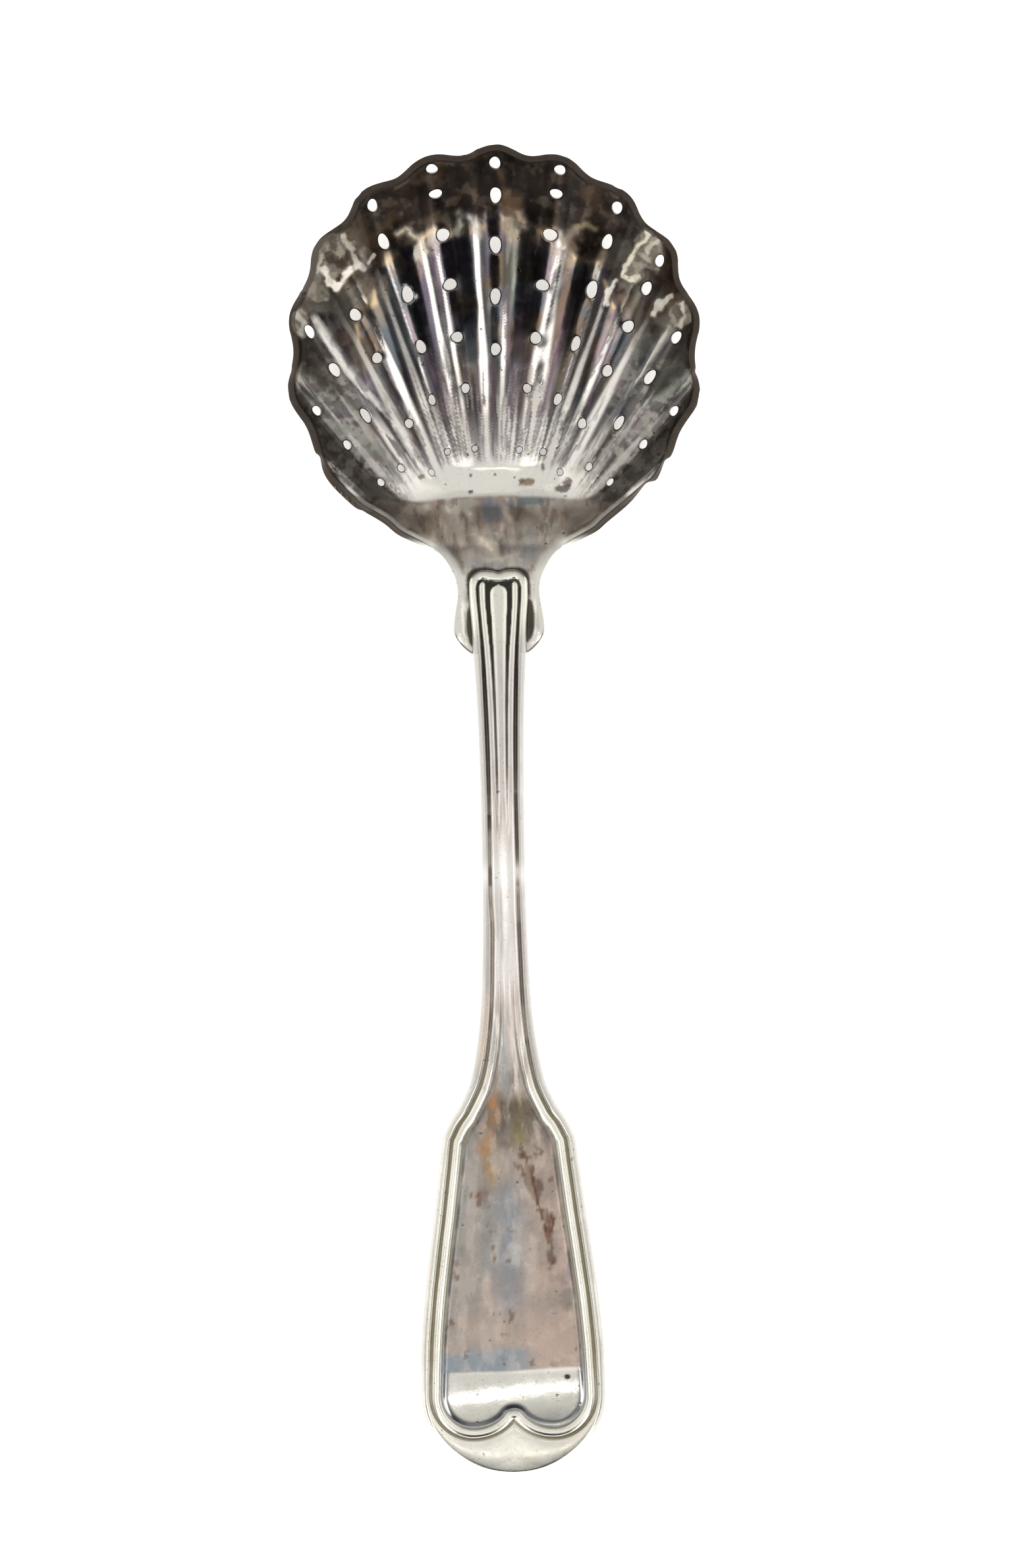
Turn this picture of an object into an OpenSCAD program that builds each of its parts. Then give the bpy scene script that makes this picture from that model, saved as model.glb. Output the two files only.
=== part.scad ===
// Sugar sifter spoon: a pierced shell bowl soldered to a threaded fiddle handle.
// Frame: +X across, +Y from the handle's tip to the far rim of the bowl, +Z up.
// The spoon lies at rest on z = 0, touching at the bowl's worn flat and at the handle's tip.
// All lengths are in millimetres.

/* [Overall] */
// Overall length seen from above, handle tip to far rim
spoon_l = 180; // [177:0.5:183]

/* [Bowl] */
// Mean radius of the round rim seen from above, at the sheet's inner edge
bowl_r = 26.95; // [26.5:0.05:27.2]
// Thickness of the bowl's sheet near the rim
sheet_t = 0.95; // [0.8:0.05:1.1]
// Thickness of the metal at the heel and the bottom
heel_t = 1.15; // [1.05:0.05:1.4]
// Height of the inner surface at its lowest point
floor_z = 1.0; // [0.9:0.05:1.05]
// Distance from the centre of the rim back to the lowest point
low_back = 16; // [13:0.5:17]
// Height of the rim at the bowl's widest station
rim_side_z = 15; // [14:0.5:16]
// Rise of the rim per millimetre towards the far end
rim_rise = 0.28; // [0.24:0.01:0.3]
// Steepness of the heel's inner wall
heel_slope = 0.72; // [0.66:0.01:0.78]

/* [Flutes] */
// Angle between neighbouring flutes, seen from the point where they would meet
flute_step = 8.5; // [8.3:0.1:8.7]
// Distance from the rim's centre back to the point where the flutes would meet
fan_back = 34; // [33:0.5:35]
// Half of the flutes' depth at the rim
flute_a = 0.58; // [0.4:0.02:0.7]
// Distance from the fan's point at which the flutes begin
flute_from = 17; // [16:0.5:19]
// How far each scallop stands out from the rim's mean circle
lobe_a = 0.55; // [0.4:0.05:0.65]

/* [Piercing] */
// Diameter of the sifting holes on the walls
hole_d = 1.85; // [1.6:0.05:2]
// Diameter of the smallest holes, nearest the heel
heel_hole_d = 1.0; // [0.9:0.05:1.3]

/* [Tang] */
// Thickness of the tang under the handle
tang_t = 1.3; // [1.2:0.05:1.4]
// Height of the tang's upper face at the neck
tang_z = 7.6; // [7.4:0.1:7.8]
// Fall of the tang's upper face per millimetre towards the bowl
tang_fall = 0.127; // [0.12:0.001:0.13]

/* [Handle] */
// Height of the handle's underside at the top of its arch
arch_z = 9.7; // [9.6:0.05:9.8]
// Thickness of the stem
stem_t = 3.6; // [3.3:0.1:3.8]
// Thickness of the flat fiddle end
end_t = 1.8; // [1.6:0.1:2]
// Greatest half-width of the fiddle end
end_w = 12.45; // [12.2:0.05:12.6]
// Depth of the groove between the threads
thread_d = 0.3; // [0.2:0.02:0.36]

/* [Solder] */
// Thickness of the solder film between tang and handle
film_t = 0.15; // [0.1:0.01:0.2]

/* [Hidden] */

y_far = spoon_l/2;
edge_out = 0.8;                          // the outer skin stands this much outside the inner edge
rim_y = y_far - bowl_r - lobe_a - edge_out - 0.02;
low_y = rim_y - low_back;
fan_y = rim_y - fan_back;
fan_x = -0.45;                           // the fan is a touch off the handle's axis
fan_turn = 1.0;
neck_y = 33;
tang_end_y = 21.3;
step_y = 21.15;

function clamp01(t) = min(1, max(0, t));
function ease(a, b, v) = let (t = clamp01((v - a)/(b - a))) t*t*(3 - 2*t);
function mix(a, b, t) = a + (b - a)*t;
// soft minimum and maximum, exact outside a band of width k
function smin(a, b, k) = abs(a - b) >= k ? min(a, b) : min(a, b) - pow(k - abs(a - b), 2)/(4*k);
function smax(a, b, k) = -smin(-a, -b, k);
// straight interpolation in a table of [station, value]
function at(tab, v, i = 0) =
    v <= tab[0][0] ? tab[0][1] :
    i >= len(tab) - 1 ? tab[len(tab) - 1][1] :
    v <= tab[i + 1][0] ? mix(tab[i][1], tab[i + 1][1], (v - tab[i][0])/(tab[i + 1][0] - tab[i][0])) :
    at(tab, v, i + 1);

// ---- the bowl's inner surface as a height over the plan ----
function rim_plane(y) = rim_side_z + rim_rise*(y - rim_y);
function tang_plane(y) = tang_z - tang_fall*(y - neck_y);
// distance from the lowest point to the rim circle in the direction a, from +Y
function reach(a) = (low_back*cos(a) + sqrt(pow(bowl_r, 2) - pow(low_back*sin(a), 2)))*(1 + 0.3*ease(122, 165, a));
function basin(x, y) =
    let (a = abs(atan2(x, y - low_y)), d = norm([x, y - low_y]), r = reach(a), u = d/r,
         h = rim_plane(low_y + r*cos(a)) - floor_z, p = 2.15 + 0.6*ease(60, 115, a), k = 0.17*(1 - ease(95, 140, a)))
    floor_z + h*((1 - k)*pow(u, p) + k*pow(u, 9));
function heel(x, y) = floor_z + heel_slope*(low_y - 3.1 + 0.01*x*x - y);
function lip(y) = smax(rim_plane(y), tang_plane(y), 0.8) + 0.55;
// inside, the bottom meets the heel's foot in a soft crease: distance from it
function fold(x, y) = norm([y - low_y - 0.67 - 0.004*x*x, 0.2]) - 0.2;
function tanh(u) = 1 - 2/(exp(2*u) + 1);
// c is 1 on the inner skin and 0 on the outer one, which has no crease
function smooth_z(x, y, c = 1) =
    let (b = smax(basin(x, y), heel(x, y), 0.9), f = fold(x, y))
    mix(b, smin(b, lip(y), 3.6), ease(47, 39, y))
        + (c == 0 ? 0 : c*0.25*tanh(f/2.6)*ease(15, 4, f)*ease(15, 5, abs(x)));
// fan coordinates: flute number (whole at the middle of a flute) and distance
function fan_q(x, y) = (atan2(x - fan_x, y - fan_y) - fan_turn)/flute_step;
function fan_r(x, y) = norm([x - fan_x, y - fan_y]);
function slope_k(x, y, c = 1) =
    let (e = 0.05, dx = (smooth_z(x + e, y, c) - smooth_z(x - e, y, c))/(2*e),
         dy = (smooth_z(x, y + e, c) - smooth_z(x, y - e, c))/(2*e))
    sqrt(1 + dx*dx + dy*dy);
// distance from the fan's point to the rim in a point's direction
function rim_reach(x, y) =
    let (d = [x - fan_x, y - fan_y], o = [fan_x, fan_y - rim_y], b = d*o/max(norm(d), 0.001), c = o*o - bowl_r*bowl_r)
    -b + sqrt(max(1, b*b - c));
function flute_amp(x, y) =
    flute_a*pow(clamp01((fan_r(x, y) - flute_from)/max(rim_reach(x, y) - flute_from, 4)), 1.9)*ease(39.5, 43, y);
// 1 in the middle of a flute, -1 on a ridge; the ridges end in low arches some way inside the rim
function flute_c(x, y) =
    let (c = cos(360*fan_q(x, y)))
    c < 0 ? c*(1 - 0.42*ease(9.3, 7.7, bowl_r - norm([x, y - rim_y]))) : c;
function inner_z(x, y, c = 1) =
    let (t = tang_plane(y), k = ease(32.4, 36.2, y), a = flute_amp(x, y))
    k == 0 ? t :
    mix(t, smooth_z(x, y, c) - (a < 0.001 ? 0 : a*flute_c(x, y)*min(slope_k(x, y, c), 2.4)), k);
function inner_n(x, y, c = 1) =
    let (e = 0.04, v = [-(inner_z(x + e, y, c) - inner_z(x - e, y, c))/(2*e),
                        -(inner_z(x, y + e, c) - inner_z(x, y - e, c))/(2*e), 1]) v/norm(v);
// a point of the outer skin below the plan point [x, y]
function outer_pt(x, y, t) = [x, y, inner_z(x, y, 0)] - t*inner_n(x, y, 0);
// sheet thickness: thin at the scalloped rim, thicker at the heel, thickest at the tang
function wall_t(x, y) =
    y > neck_y ? mix(sheet_t, heel_t, ease(60, 46, y)) : mix(heel_t, tang_t, ease(neck_y, 29, y));

// ---- plan outline of the bowl and its tang, as rays from a centre in the heel ----
hub = [0, 39.5];
// half of the outline below the bowl: fillet, neck, ear and tang end, [x, y]
side = [[15.0, 39.8], [13.2, 38.2], [11.4, 37.15], [9.75, 36.3], [8.5, 35.45], [7.6, 34.55], [6.95, 33.65],
        [6.45, 32.75], [6.03, 31.85], [5.76, 30.95], [5.63, 30.05], [5.63, 29.2], [5.75, 28.3], [5.92, 27.4],
        [6.08, 26.5], [6.2, 25.6], [6.24, 24.7], [6.05, 23.8], [5.6, 22.95], [4.9, 22.1], [3.9, 21.3],
        [2.6, 21.3], [1.3, 21.3]];
// scalloped part: the far crossing of each fan ray with the rim circle
function rim_pt(a) =
    let (q = (a - fan_turn)/flute_step, d = [sin(a), cos(a)], o = [fan_x, fan_y - rim_y],
         b = o*d, c = o*o - bowl_r*bowl_r, s = sqrt(max(0, b*b - c)), p = o + d*(-b + s),
         out = lobe_a*cos(360*q)*ease(53.5, 47, abs(a)))
    [p[0], p[1] + rim_y] + out*p/norm(p);
rim_n = 90;
fan_half = 51.5;
rim_line = [for (i = [0:rim_n]) rim_pt(-fan_half + 2*fan_half*i/rim_n)];
outline = concat(rim_line,
    side, [[0, tang_end_y]],
    [for (i = [len(side) - 1:-1:0]) [-side[i][0], side[i][1]]]);
ray_n = len(outline);
ring_t = [0.09, 0.18, 0.27, 0.36, 0.45, 0.54, 0.63, 0.72, 0.8, 0.87, 0.94, 1];
ring_n = len(ring_t);

module bowl_sheet() {
    plan = [for (t = ring_t) for (p = outline) hub + (p - hub)*t];
    top = concat([[hub[0], hub[1], inner_z(hub[0], hub[1])]],
        [for (p = plan) [p[0], p[1], inner_z(p[0], p[1])]]);
    low = concat([outer_pt(hub[0], hub[1], heel_t)], [for (p = plan) outer_pt(p[0], p[1], wall_t(p[0], p[1]))]);
    m = len(top);
    function id(ring, ray) = 1 + ring*ray_n + ray % ray_n;
    polyhedron(concat(top, low), concat(
        [for (k = [0:ray_n - 1]) [0, id(0, k), id(0, k + 1)]],
        [for (k = [0:ray_n - 1]) [m, m + id(0, k + 1), m + id(0, k)]],
        [for (j = [0:ring_n - 2]) for (k = [0:ray_n - 1]) for (f =
            [[id(j, k), id(j, k + 1), id(j + 1, k + 1)], [id(j, k), id(j + 1, k + 1), id(j + 1, k)]])
            each [[f[0], f[2], f[1]], [m + f[0], m + f[1], m + f[2]]]],
        [for (k = [0:ray_n - 1]) each
            [[id(ring_n - 1, k), m + id(ring_n - 1, k + 1), id(ring_n - 1, k + 1)],
             [id(ring_n - 1, k), m + id(ring_n - 1, k), m + id(ring_n - 1, k + 1)]]]));
}

// sifting holes: [flute, distances from the fan's point, outermost first]; left and right differ
// a little, and a few holes sit beside the middle of their flute
holes = [[0, [59.7, 55.35, 48.8, 41.9, 34.7]],
         [1, [59.5, 56.3, 50.65, 43.9, 36.75, 29.9]], [-0.95, [59.5, 56.3, 50.65, 43.9, 36.75, 29.9]],
         [2, [56.1, 51.5, 44.75, 37.2, 29.3]], [-2, [56.4, 51.5, 29.3]], [-1.85, [43.8]], [-1.9, [36.5]],
         [3, [51.5, 47.4, 41.9, 35.3, 27.4]], [-3, [51.5, 47.9, 43.7, 37.2, 27.4]],
         [4, [43.7, 37.3, 29.9, 22.7]], [-4, [44.8, 38.7, 31.3, 22.7]],
         [5, [35.8, 29.6, 22.9]], [-5, [35.8, 29.6, 22.9]]];
heel_holes = [[1, 21.5], [2, 21.8], [3, 20.2]];
function hole_at(r) = mix(heel_hole_d, hole_d, ease(19, 44, r));

module drill(q, r, d) {
    a = q*flute_step + fan_turn;
    x = fan_x + r*sin(a);
    y = fan_y + r*cos(a);
    n = inner_n(x, y);
    translate([x, y, inner_z(x, y)]) rotate([0, acos(n[2]), atan2(n[1], n[0])])
        cylinder(h = 5, d = d, center = true, $fn = 20);
}

module bowl() {
    color([0.66, 0.63, 0.58]) difference() {
        intersection() {
            bowl_sheet();
            translate([-40, 0, 0]) cube([80, 120, 60]);
        }
        for (h = holes) for (r = h[1]) drill(h[0], r, hole_at(r));
        for (h = heel_holes) for (s = [-1, 1]) drill(s*h[0], h[1], heel_hole_d);
    }
}

// ---- handle ----
// half-width of the handle along its length, tip side first
half_w = [[-78, end_w], [-74.2, end_w], [-72.4, 12.35], [-68.9, 12.05], [-65.3, 11.7], [-61.7, 11.25], [-58.2, 10.8],
          [-54.6, 10.3], [-51, 9.85], [-47.5, 9.4], [-45.4, 9.16], [-44.4, 9.0], [-43.7, 8.72], [-42.1, 7.93], [-40.3, 6.75],
          [-38.6, 5.85], [-36.8, 5.1], [-35, 4.65], [-33.2, 4.3], [-30.5, 3.88], [-27.5, 3.55], [-24, 3.3], [-19, 3.12],
          [-12, 2.97], [-1, 2.94], [8, 3.05], [15, 3.25], [21, 3.58], [26, 3.85], [29.2, 4], [30.6, 4], [31.2, 3.92],
          [31.6, 3.75], [32.0, 3.42], [32.3, 3.05], [32.5, 2.65], [32.6, 2.3]];
tip_y = -y_far;
tip_c = tip_y + 10.8;
function w_at(y) = y < tip_c + 1 ? end_w*sqrt(max(0.0165, 1 - pow(min(0, y - tip_c)/10.8, 2))) : at(half_w, y);
// underside and thickness along the length
function under_z(y) = y > -9 ? arch_z - 0.00211*pow(y + 9, 2) : arch_z - (arch_z + 0.3)*pow((y + 9)/(tip_y + 9), 2);
function seat_z(y) = tang_plane(y) + film_t*sqrt(1 + tang_fall*tang_fall);
thick = [[-90, end_t + 0.05], [-76, end_t + 0.07], [-60, end_t + 0.3], [-45, end_t + 0.8], [-25, stem_t - 0.3], [-8, stem_t], [8, stem_t - 0.1], [21, 3.15]];
function top_z(y) = y > 21 ? mix(under_z(21) + 3.15, seat_z(32.4) + 1.35, (y - 21)/11.4) : under_z(y) + at(thick, y);
// relief across the upper face: [offset from the edge in thread units, depth]
function edge_z(y) = y > 20.9 ? (seat_z(y) + top_z(y))/2 : (under_z(y) + top_z(y))/2;
function relief(y) = ease(tip_y + 4, tip_y + 14, y);
across = [[0, 0], [0.3, 0.42], [0.7, 1], [1.05, 0.72], [1.38, 0], [1.7, 0.7], [2.08, 0.95], [2.45, 0.7], [2.83, 0.25], [3.3, 0.8]];
function unit(y) = min(mix(0.8, 1, ease(-24, -36, y)), w_at(y)/4.4);

rows = concat([for (v = [0, 0.5, 1.2, 2.2, 3.4, 4.8, 6.6, 8.6, 10.8]) tip_y + v], [for (h = half_w) if (h[0] > -77) h[0]]);

module handle_blank() {
    half = [for (y = rows)
        let (w = w_at(y), s = unit(y), zt = top_z(y), zb = under_z(y), t = zt - zb, g = thread_d*relief(y))
        [for (c = across) [w - c[0]*s, y, c[0] == 0 ? edge_z(y) : zt - (c[0] < 0.6 ? 0.35*(1 - c[1]) : g*(1 - c[1]))]]];
    nc = len(across);
    rn = 2*nc + 5;
    pts = [for (j = [0:len(rows) - 1]) let (y = rows[j], w = w_at(y), zb = under_z(y), t = top_z(y) - zb, k = min(0.4, w*0.3))
        each concat(
            [for (p = half[j]) p],
            [[0, y, top_z(y) + 0.05*relief(y)]],
            [for (i = [nc - 1:-1:0]) [-half[j][i][0], y, half[j][i][2]]],
            [[-(w - k*0.5), y, zb + 0.14*t], [-(w - k*2), y, zb], [w - k*2, y, zb], [w - k*0.5, y, zb + 0.14*t]])];
    m = len(rows);
    function id(j, k) = j*rn + k % rn;
    polyhedron(pts, concat(
        [[for (k = [rn - 1:-1:0]) id(0, k)]],
        [[for (k = [0:rn - 1]) id(m - 1, k)]],
        [for (j = [0:m - 2]) for (k = [0:rn - 1]) each
            [[id(j, k), id(j + 1, k + 1), id(j + 1, k)], [id(j, k), id(j, k + 1), id(j + 1, k + 1)]]]));
}

module seat_frame() {
    translate([0, step_y, tang_plane(step_y)]) rotate([-atan(tang_fall), 0, 0]) children();
}

module handle() {
    color([0.7, 0.68, 0.62]) difference() {
        intersection() {
            handle_blank();
            translate([-30, -120, 0]) cube([60, 200, 40]);
        }
        // rebate that receives the tang
        seat_frame() translate([-10, 0, film_t - 8]) cube([20, 16, 8]);
    }
}

module solder_seam() {
    // film under the handle's end and up the step behind the tang
    color([0.5, 0.48, 0.44]) seat_frame() {
        linear_extrude(height = film_t) polygon(concat(
            [for (h = half_w) if (h[0] > 21.5) [h[1] - 0.25, (h[0] - step_y)*1.008 - 0.05]],
            [for (i = [len(half_w) - 1:-1:0]) if (half_w[i][0] > 21.5) [-half_w[i][1] + 0.25, (half_w[i][0] - step_y)*1.008 - 0.05]],
            [[-3.3, 0], [3.3, 0]]));
        translate([-3.2, 0, -1.1]) cube([6.4, 0.13, 1.2]);
    }
}

bowl();
handle();
solder_seam();
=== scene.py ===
"""Looks of the sugar sifter spoon: a pierced shell bowl soldered to a threaded fiddle handle.

The shapes are worked out in millimetres in the part's own frame and turned into metres at the
end: +X across, +Y from the handle's tip to the bowl's far rim, +Z up from the table.
"""

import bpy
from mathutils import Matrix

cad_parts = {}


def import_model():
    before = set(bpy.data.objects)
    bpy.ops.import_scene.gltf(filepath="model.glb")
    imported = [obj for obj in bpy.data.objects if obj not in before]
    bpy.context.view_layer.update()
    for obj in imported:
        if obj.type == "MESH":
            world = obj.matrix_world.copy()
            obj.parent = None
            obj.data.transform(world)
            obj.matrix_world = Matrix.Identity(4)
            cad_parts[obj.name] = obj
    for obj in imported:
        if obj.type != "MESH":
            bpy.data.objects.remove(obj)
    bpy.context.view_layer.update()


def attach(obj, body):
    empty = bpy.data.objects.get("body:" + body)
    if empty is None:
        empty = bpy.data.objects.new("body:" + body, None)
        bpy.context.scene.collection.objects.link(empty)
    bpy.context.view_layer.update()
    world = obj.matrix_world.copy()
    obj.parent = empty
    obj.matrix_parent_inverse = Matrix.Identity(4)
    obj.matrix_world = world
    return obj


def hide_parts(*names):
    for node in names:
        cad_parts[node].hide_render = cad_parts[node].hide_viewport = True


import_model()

import math

import bpy
import numpy as np
from mathutils import Vector
from mathutils.geometry import delaunay_2d_cdt

MM = 0.001


# ---------------------------------------------------------------- small maths
def clamp01(t):
    return np.clip(t, 0.0, 1.0)


def ease(a, b, v):
    t = clamp01((np.asarray(v, float) - a) / (b - a))
    return t * t * (3 - 2 * t)


def mix(a, b, t):
    return a + (b - a) * t


def smin(a, b, k):
    d = np.abs(a - b)
    return np.minimum(a, b) - np.where(d < k, (k - d) ** 2 / (4 * k), 0.0)


def smax(a, b, k):
    return -smin(-a, -b, k)


def gauss(d, s):
    return np.exp(-((d / s) ** 2))


def pchip(table):
    """A smooth curve through [station, value] rows that never overshoots between them."""
    xs = np.array([r[0] for r in table], float)
    ys = np.array([r[1] for r in table], float)
    h = np.diff(xs)
    d = np.diff(ys) / h
    m = np.zeros(len(xs))
    for i in range(1, len(xs) - 1):
        if d[i - 1] * d[i] > 0:
            w1, w2 = 2 * h[i] + h[i - 1], h[i] + 2 * h[i - 1]
            m[i] = (w1 + w2) / (w1 / d[i - 1] + w2 / d[i])
    m[0], m[-1] = d[0], d[-1]

    def f(v):
        v = np.clip(np.asarray(v, float), xs[0], xs[-1])
        i = np.clip(np.searchsorted(xs, v) - 1, 0, len(xs) - 2)
        t = (v - xs[i]) / h[i]
        t2, t3 = t * t, t * t * t
        return (
            (2 * t3 - 3 * t2 + 1) * ys[i]
            + (t3 - 2 * t2 + t) * h[i] * m[i]
            + (-2 * t3 + 3 * t2) * ys[i + 1]
            + (t3 - t2) * h[i] * m[i + 1]
        )

    return f


def lattice(seed, n=64):
    return np.random.RandomState(seed).rand(n, n)


LATTICES = {}


def value_noise(x, y, size, seed):
    """Smooth noise from 0 to 1 whose blobs are about size millimetres across."""
    if seed not in LATTICES:
        LATTICES[seed] = lattice(seed)
    g = LATTICES[seed]
    u, v = np.asarray(x, float) / size + 17.3, np.asarray(y, float) / size + 9.1
    i, j = np.floor(u).astype(int), np.floor(v).astype(int)
    fu, fv = u - i, v - j
    fu, fv = fu * fu * fu * (fu * (fu * 6 - 15) + 10), fv * fv * fv * (fv * (fv * 6 - 15) + 10)
    n = len(g)
    a, b = g[i % n, j % n], g[(i + 1) % n, j % n]
    c, d = g[i % n, (j + 1) % n], g[(i + 1) % n, (j + 1) % n]
    return mix(mix(a, b, fu), mix(c, d, fu), fv)


def fbm(x, y, size, seed, octaves=4, gain=0.5):
    """Layered smooth noise, roughly 0 to 1 with its middle at 0.5."""
    total, amp, norm = 0.0, 1.0, 0.0
    for k in range(octaves):
        a = 0.6 * k
        xr, yr = x * math.cos(a) - y * math.sin(a), x * math.sin(a) + y * math.cos(a)
        total = total + amp * value_noise(xr, yr, size / 2**k, seed + 31 * k)
        norm += amp
        amp *= gain
    return total / norm


def waves(x, y, seed, count, shortest, longest):
    """A soft uneven surface, about -1 to 1, from a few long waves in random directions."""
    r = np.random.RandomState(seed)
    total = 0.0
    for _ in range(count):
        a, p = r.rand() * 2 * math.pi, r.rand() * 2 * math.pi
        k = 2 * math.pi / (shortest + (longest - shortest) * r.rand())
        total = total + np.cos(k * (x * math.cos(a) + y * math.sin(a)) + p)
    return total / math.sqrt(count)


# ---------------------------------------------------------------- the bowl's surface
BOWL_R, SHEET_T, HEEL_T, FLOOR_Z = 26.95, 0.95, 1.15, 1.0
LOBE_A = 0.55
RIM_Y = 90 - BOWL_R - LOBE_A - 0.8 - 0.02
LOW_Y, FAN_X, FAN_Y = RIM_Y - 16, -0.45, RIM_Y - 34
FAN_TURN, STEP, FLUTE_A, FLUTE_FROM = 1.0, 8.5, 0.58, 17.0
TANG_Z, TANG_FALL, NECK_Y, TANG_END, STEP_Y = 7.6, 0.127, 33.0, 21.3, 21.15
FILM = 0.15


def rim_plane(y):
    return 15 + 0.28 * (y - RIM_Y)


def tang_plane(y):
    return TANG_Z - TANG_FALL * (y - NECK_Y)


def smooth_z(x, y, crease=1.0):
    a = np.abs(np.degrees(np.arctan2(x, y - LOW_Y)))
    ar = np.radians(a)
    r = (16 * np.cos(ar) + np.sqrt(BOWL_R**2 - (16 * np.sin(ar)) ** 2)) * (1 + 0.3 * ease(122, 165, a))
    u = np.hypot(x, y - LOW_Y) / r
    h = rim_plane(LOW_Y + r * np.cos(ar)) - FLOOR_Z
    p = 2.15 + 0.6 * ease(60, 115, a)
    k = 0.17 * (1 - ease(95, 140, a))
    basin = FLOOR_Z + h * ((1 - k) * u**p + k * u**9)
    heel = FLOOR_Z + 0.72 * (LOW_Y - 3.1 + 0.01 * x * x - y)
    b = smax(basin, heel, 0.9)
    lip = smax(rim_plane(y), tang_plane(y), 0.8) + 0.55
    b = mix(b, smin(b, lip, 3.6), ease(47, 39, y))
    # the bottom meets the heel's foot in a soft crease that catches the light
    fold = np.hypot(y - 46.35 - 0.004 * x * x, 0.2) - 0.2
    return b + crease * 0.25 * np.tanh(fold / 2.6) * ease(15, 4, fold) * ease(15, 5, np.abs(x))


def fan_q(x, y):
    return (np.degrees(np.arctan2(x - FAN_X, y - FAN_Y)) - FAN_TURN) / STEP


def fan_r(x, y):
    return np.hypot(x - FAN_X, y - FAN_Y)


def slope_k(x, y, crease=1.0, e=0.05):
    dx = (smooth_z(x + e, y, crease) - smooth_z(x - e, y, crease)) / (2 * e)
    dy = (smooth_z(x, y + e, crease) - smooth_z(x, y - e, crease)) / (2 * e)
    return np.sqrt(1 + dx * dx + dy * dy)


def rim_reach(x, y):
    """Distance from the fan's point to the rim in a point's direction."""
    r = np.maximum(fan_r(x, y), 1e-6)
    b = (x - FAN_X) / r * FAN_X + (y - FAN_Y) / r * (FAN_Y - RIM_Y)
    c = FAN_X**2 + (FAN_Y - RIM_Y) ** 2 - BOWL_R**2
    return -b + np.sqrt(np.maximum(1.0, b * b - c))


def flute_t(x, y):
    """0 where the flutes begin, 1 at the rim."""
    return clamp01((fan_r(x, y) - FLUTE_FROM) / np.maximum(rim_reach(x, y) - FLUTE_FROM, 4.0))


def flute_amp(x, y):
    return FLUTE_A * flute_t(x, y) ** 1.9 * ease(39.5, 43, y)


# sifting holes by flute: distance from the fan's point, half-width across and along the flute
HOLES = []
_rows = {
    0: [(59.7, 0.83, 0.90), (55.35, 0.83, 1.22), (48.8, 0.85, 1.32), (41.9, 0.80, 1.22), (34.35, 0.90, 1.05)],
    1: [(59.5, 0.92, 0.70), (56.3, 1.00, 0.72), (50.65, 1.06, 0.90), (43.9, 1.00, 0.92), (36.75, 0.95, 0.95), (29.9, 0.75, 0.85)],
    2: [(56.4, 0.83, 0.95), (51.5, 0.77, 1.25), (44.5, 0.83, 1.30), (36.8, 0.75, 1.20), (29.3, 0.70, 1.00)],
    3: [(51.5, 0.72, 1.00), (47.4, 0.70, 1.12), (42.25, 0.82, 1.00), (35.7, 0.85, 0.95), (27.4, 0.75, 0.90)],
    4: [(44.3, 0.66, 1.12), (37.5, 0.78, 1.30), (30.3, 0.75, 1.30), (22.7, 0.60, 0.85)],
    5: [(35.4, 0.64, 1.00), (29.2, 0.70, 0.90), (22.9, 0.60, 0.80)],
}
_rng = np.random.RandomState(5)
for _q, _list in _rows.items():
    for _s in (1, -1) if _q else (1,):
        for _r, _w, _l in _list:
            HOLES.append([_q * _s, _r, _w * (0.95 + 0.1 * _rng.rand()), _l * (0.95 + 0.1 * _rng.rand())])
for _q, _r in ((1, 21.5), (2, 21.8), (3, 20.2)):
    for _s in (-1, 1):
        HOLES.append([_q * _s, _r, 0.58 + 0.06 * _rng.rand(), 0.6 + 0.06 * _rng.rand()])
# left and right differ a little, and a few holes sit beside the middle of their flute
_moved = {
    (0, 34.35): (0, 34.7), (2, 56.4): (2, 56.1), (2, 44.5): (2, 44.75), (2, 36.8): (2, 37.2),
    (-2, 44.5): (-1.85, 43.8), (-2, 36.8): (-1.9, 36.5), (3, 42.25): (3, 41.9), (3, 35.7): (3, 35.3),
    (-3, 47.4): (-3, 47.9), (-3, 42.25): (-3, 43.7), (-3, 35.7): (-3, 37.2),
    (4, 44.3): (4, 43.7), (4, 37.5): (4, 37.3), (4, 30.3): (4, 29.9),
    (-4, 44.3): (-4, 44.8), (-4, 37.5): (-4, 38.7), (-4, 30.3): (-4, 31.3),
    (5, 35.4): (5, 35.8), (5, 29.2): (5, 29.6), (-5, 35.4): (-5, 35.8), (-5, 29.2): (-5, 29.6),
}
for h in HOLES:
    h[0], h[1] = _moved.get((h[0], h[1]), (h[0], h[1]))
HOLE_A = np.radians([h[0] * STEP + FAN_TURN for h in HOLES])
HOLE_C = np.array([[FAN_X + h[1] * math.sin(a), FAN_Y + h[1] * math.cos(a)] for h, a in zip(HOLES, HOLE_A)])
HOLE_C += (_rng.rand(len(HOLES), 2) - 0.5) * 0.22
# the holes of flute -1 were pierced a little off its middle
HOLE_C[:, 0] += [0.38 if h[0] == -1 else 0.0 for h in HOLES]
HOLE_S = np.array([[h[2], h[3]] for h in HOLES])
HOLE_S *= np.interp([h[1] for h in HOLES], [20, 30, 42, 60], [0.72, 0.76, 0.88, 0.92])[:, None]
HOLE_P = _rng.rand(len(HOLES), 2) * 2 * math.pi
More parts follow.
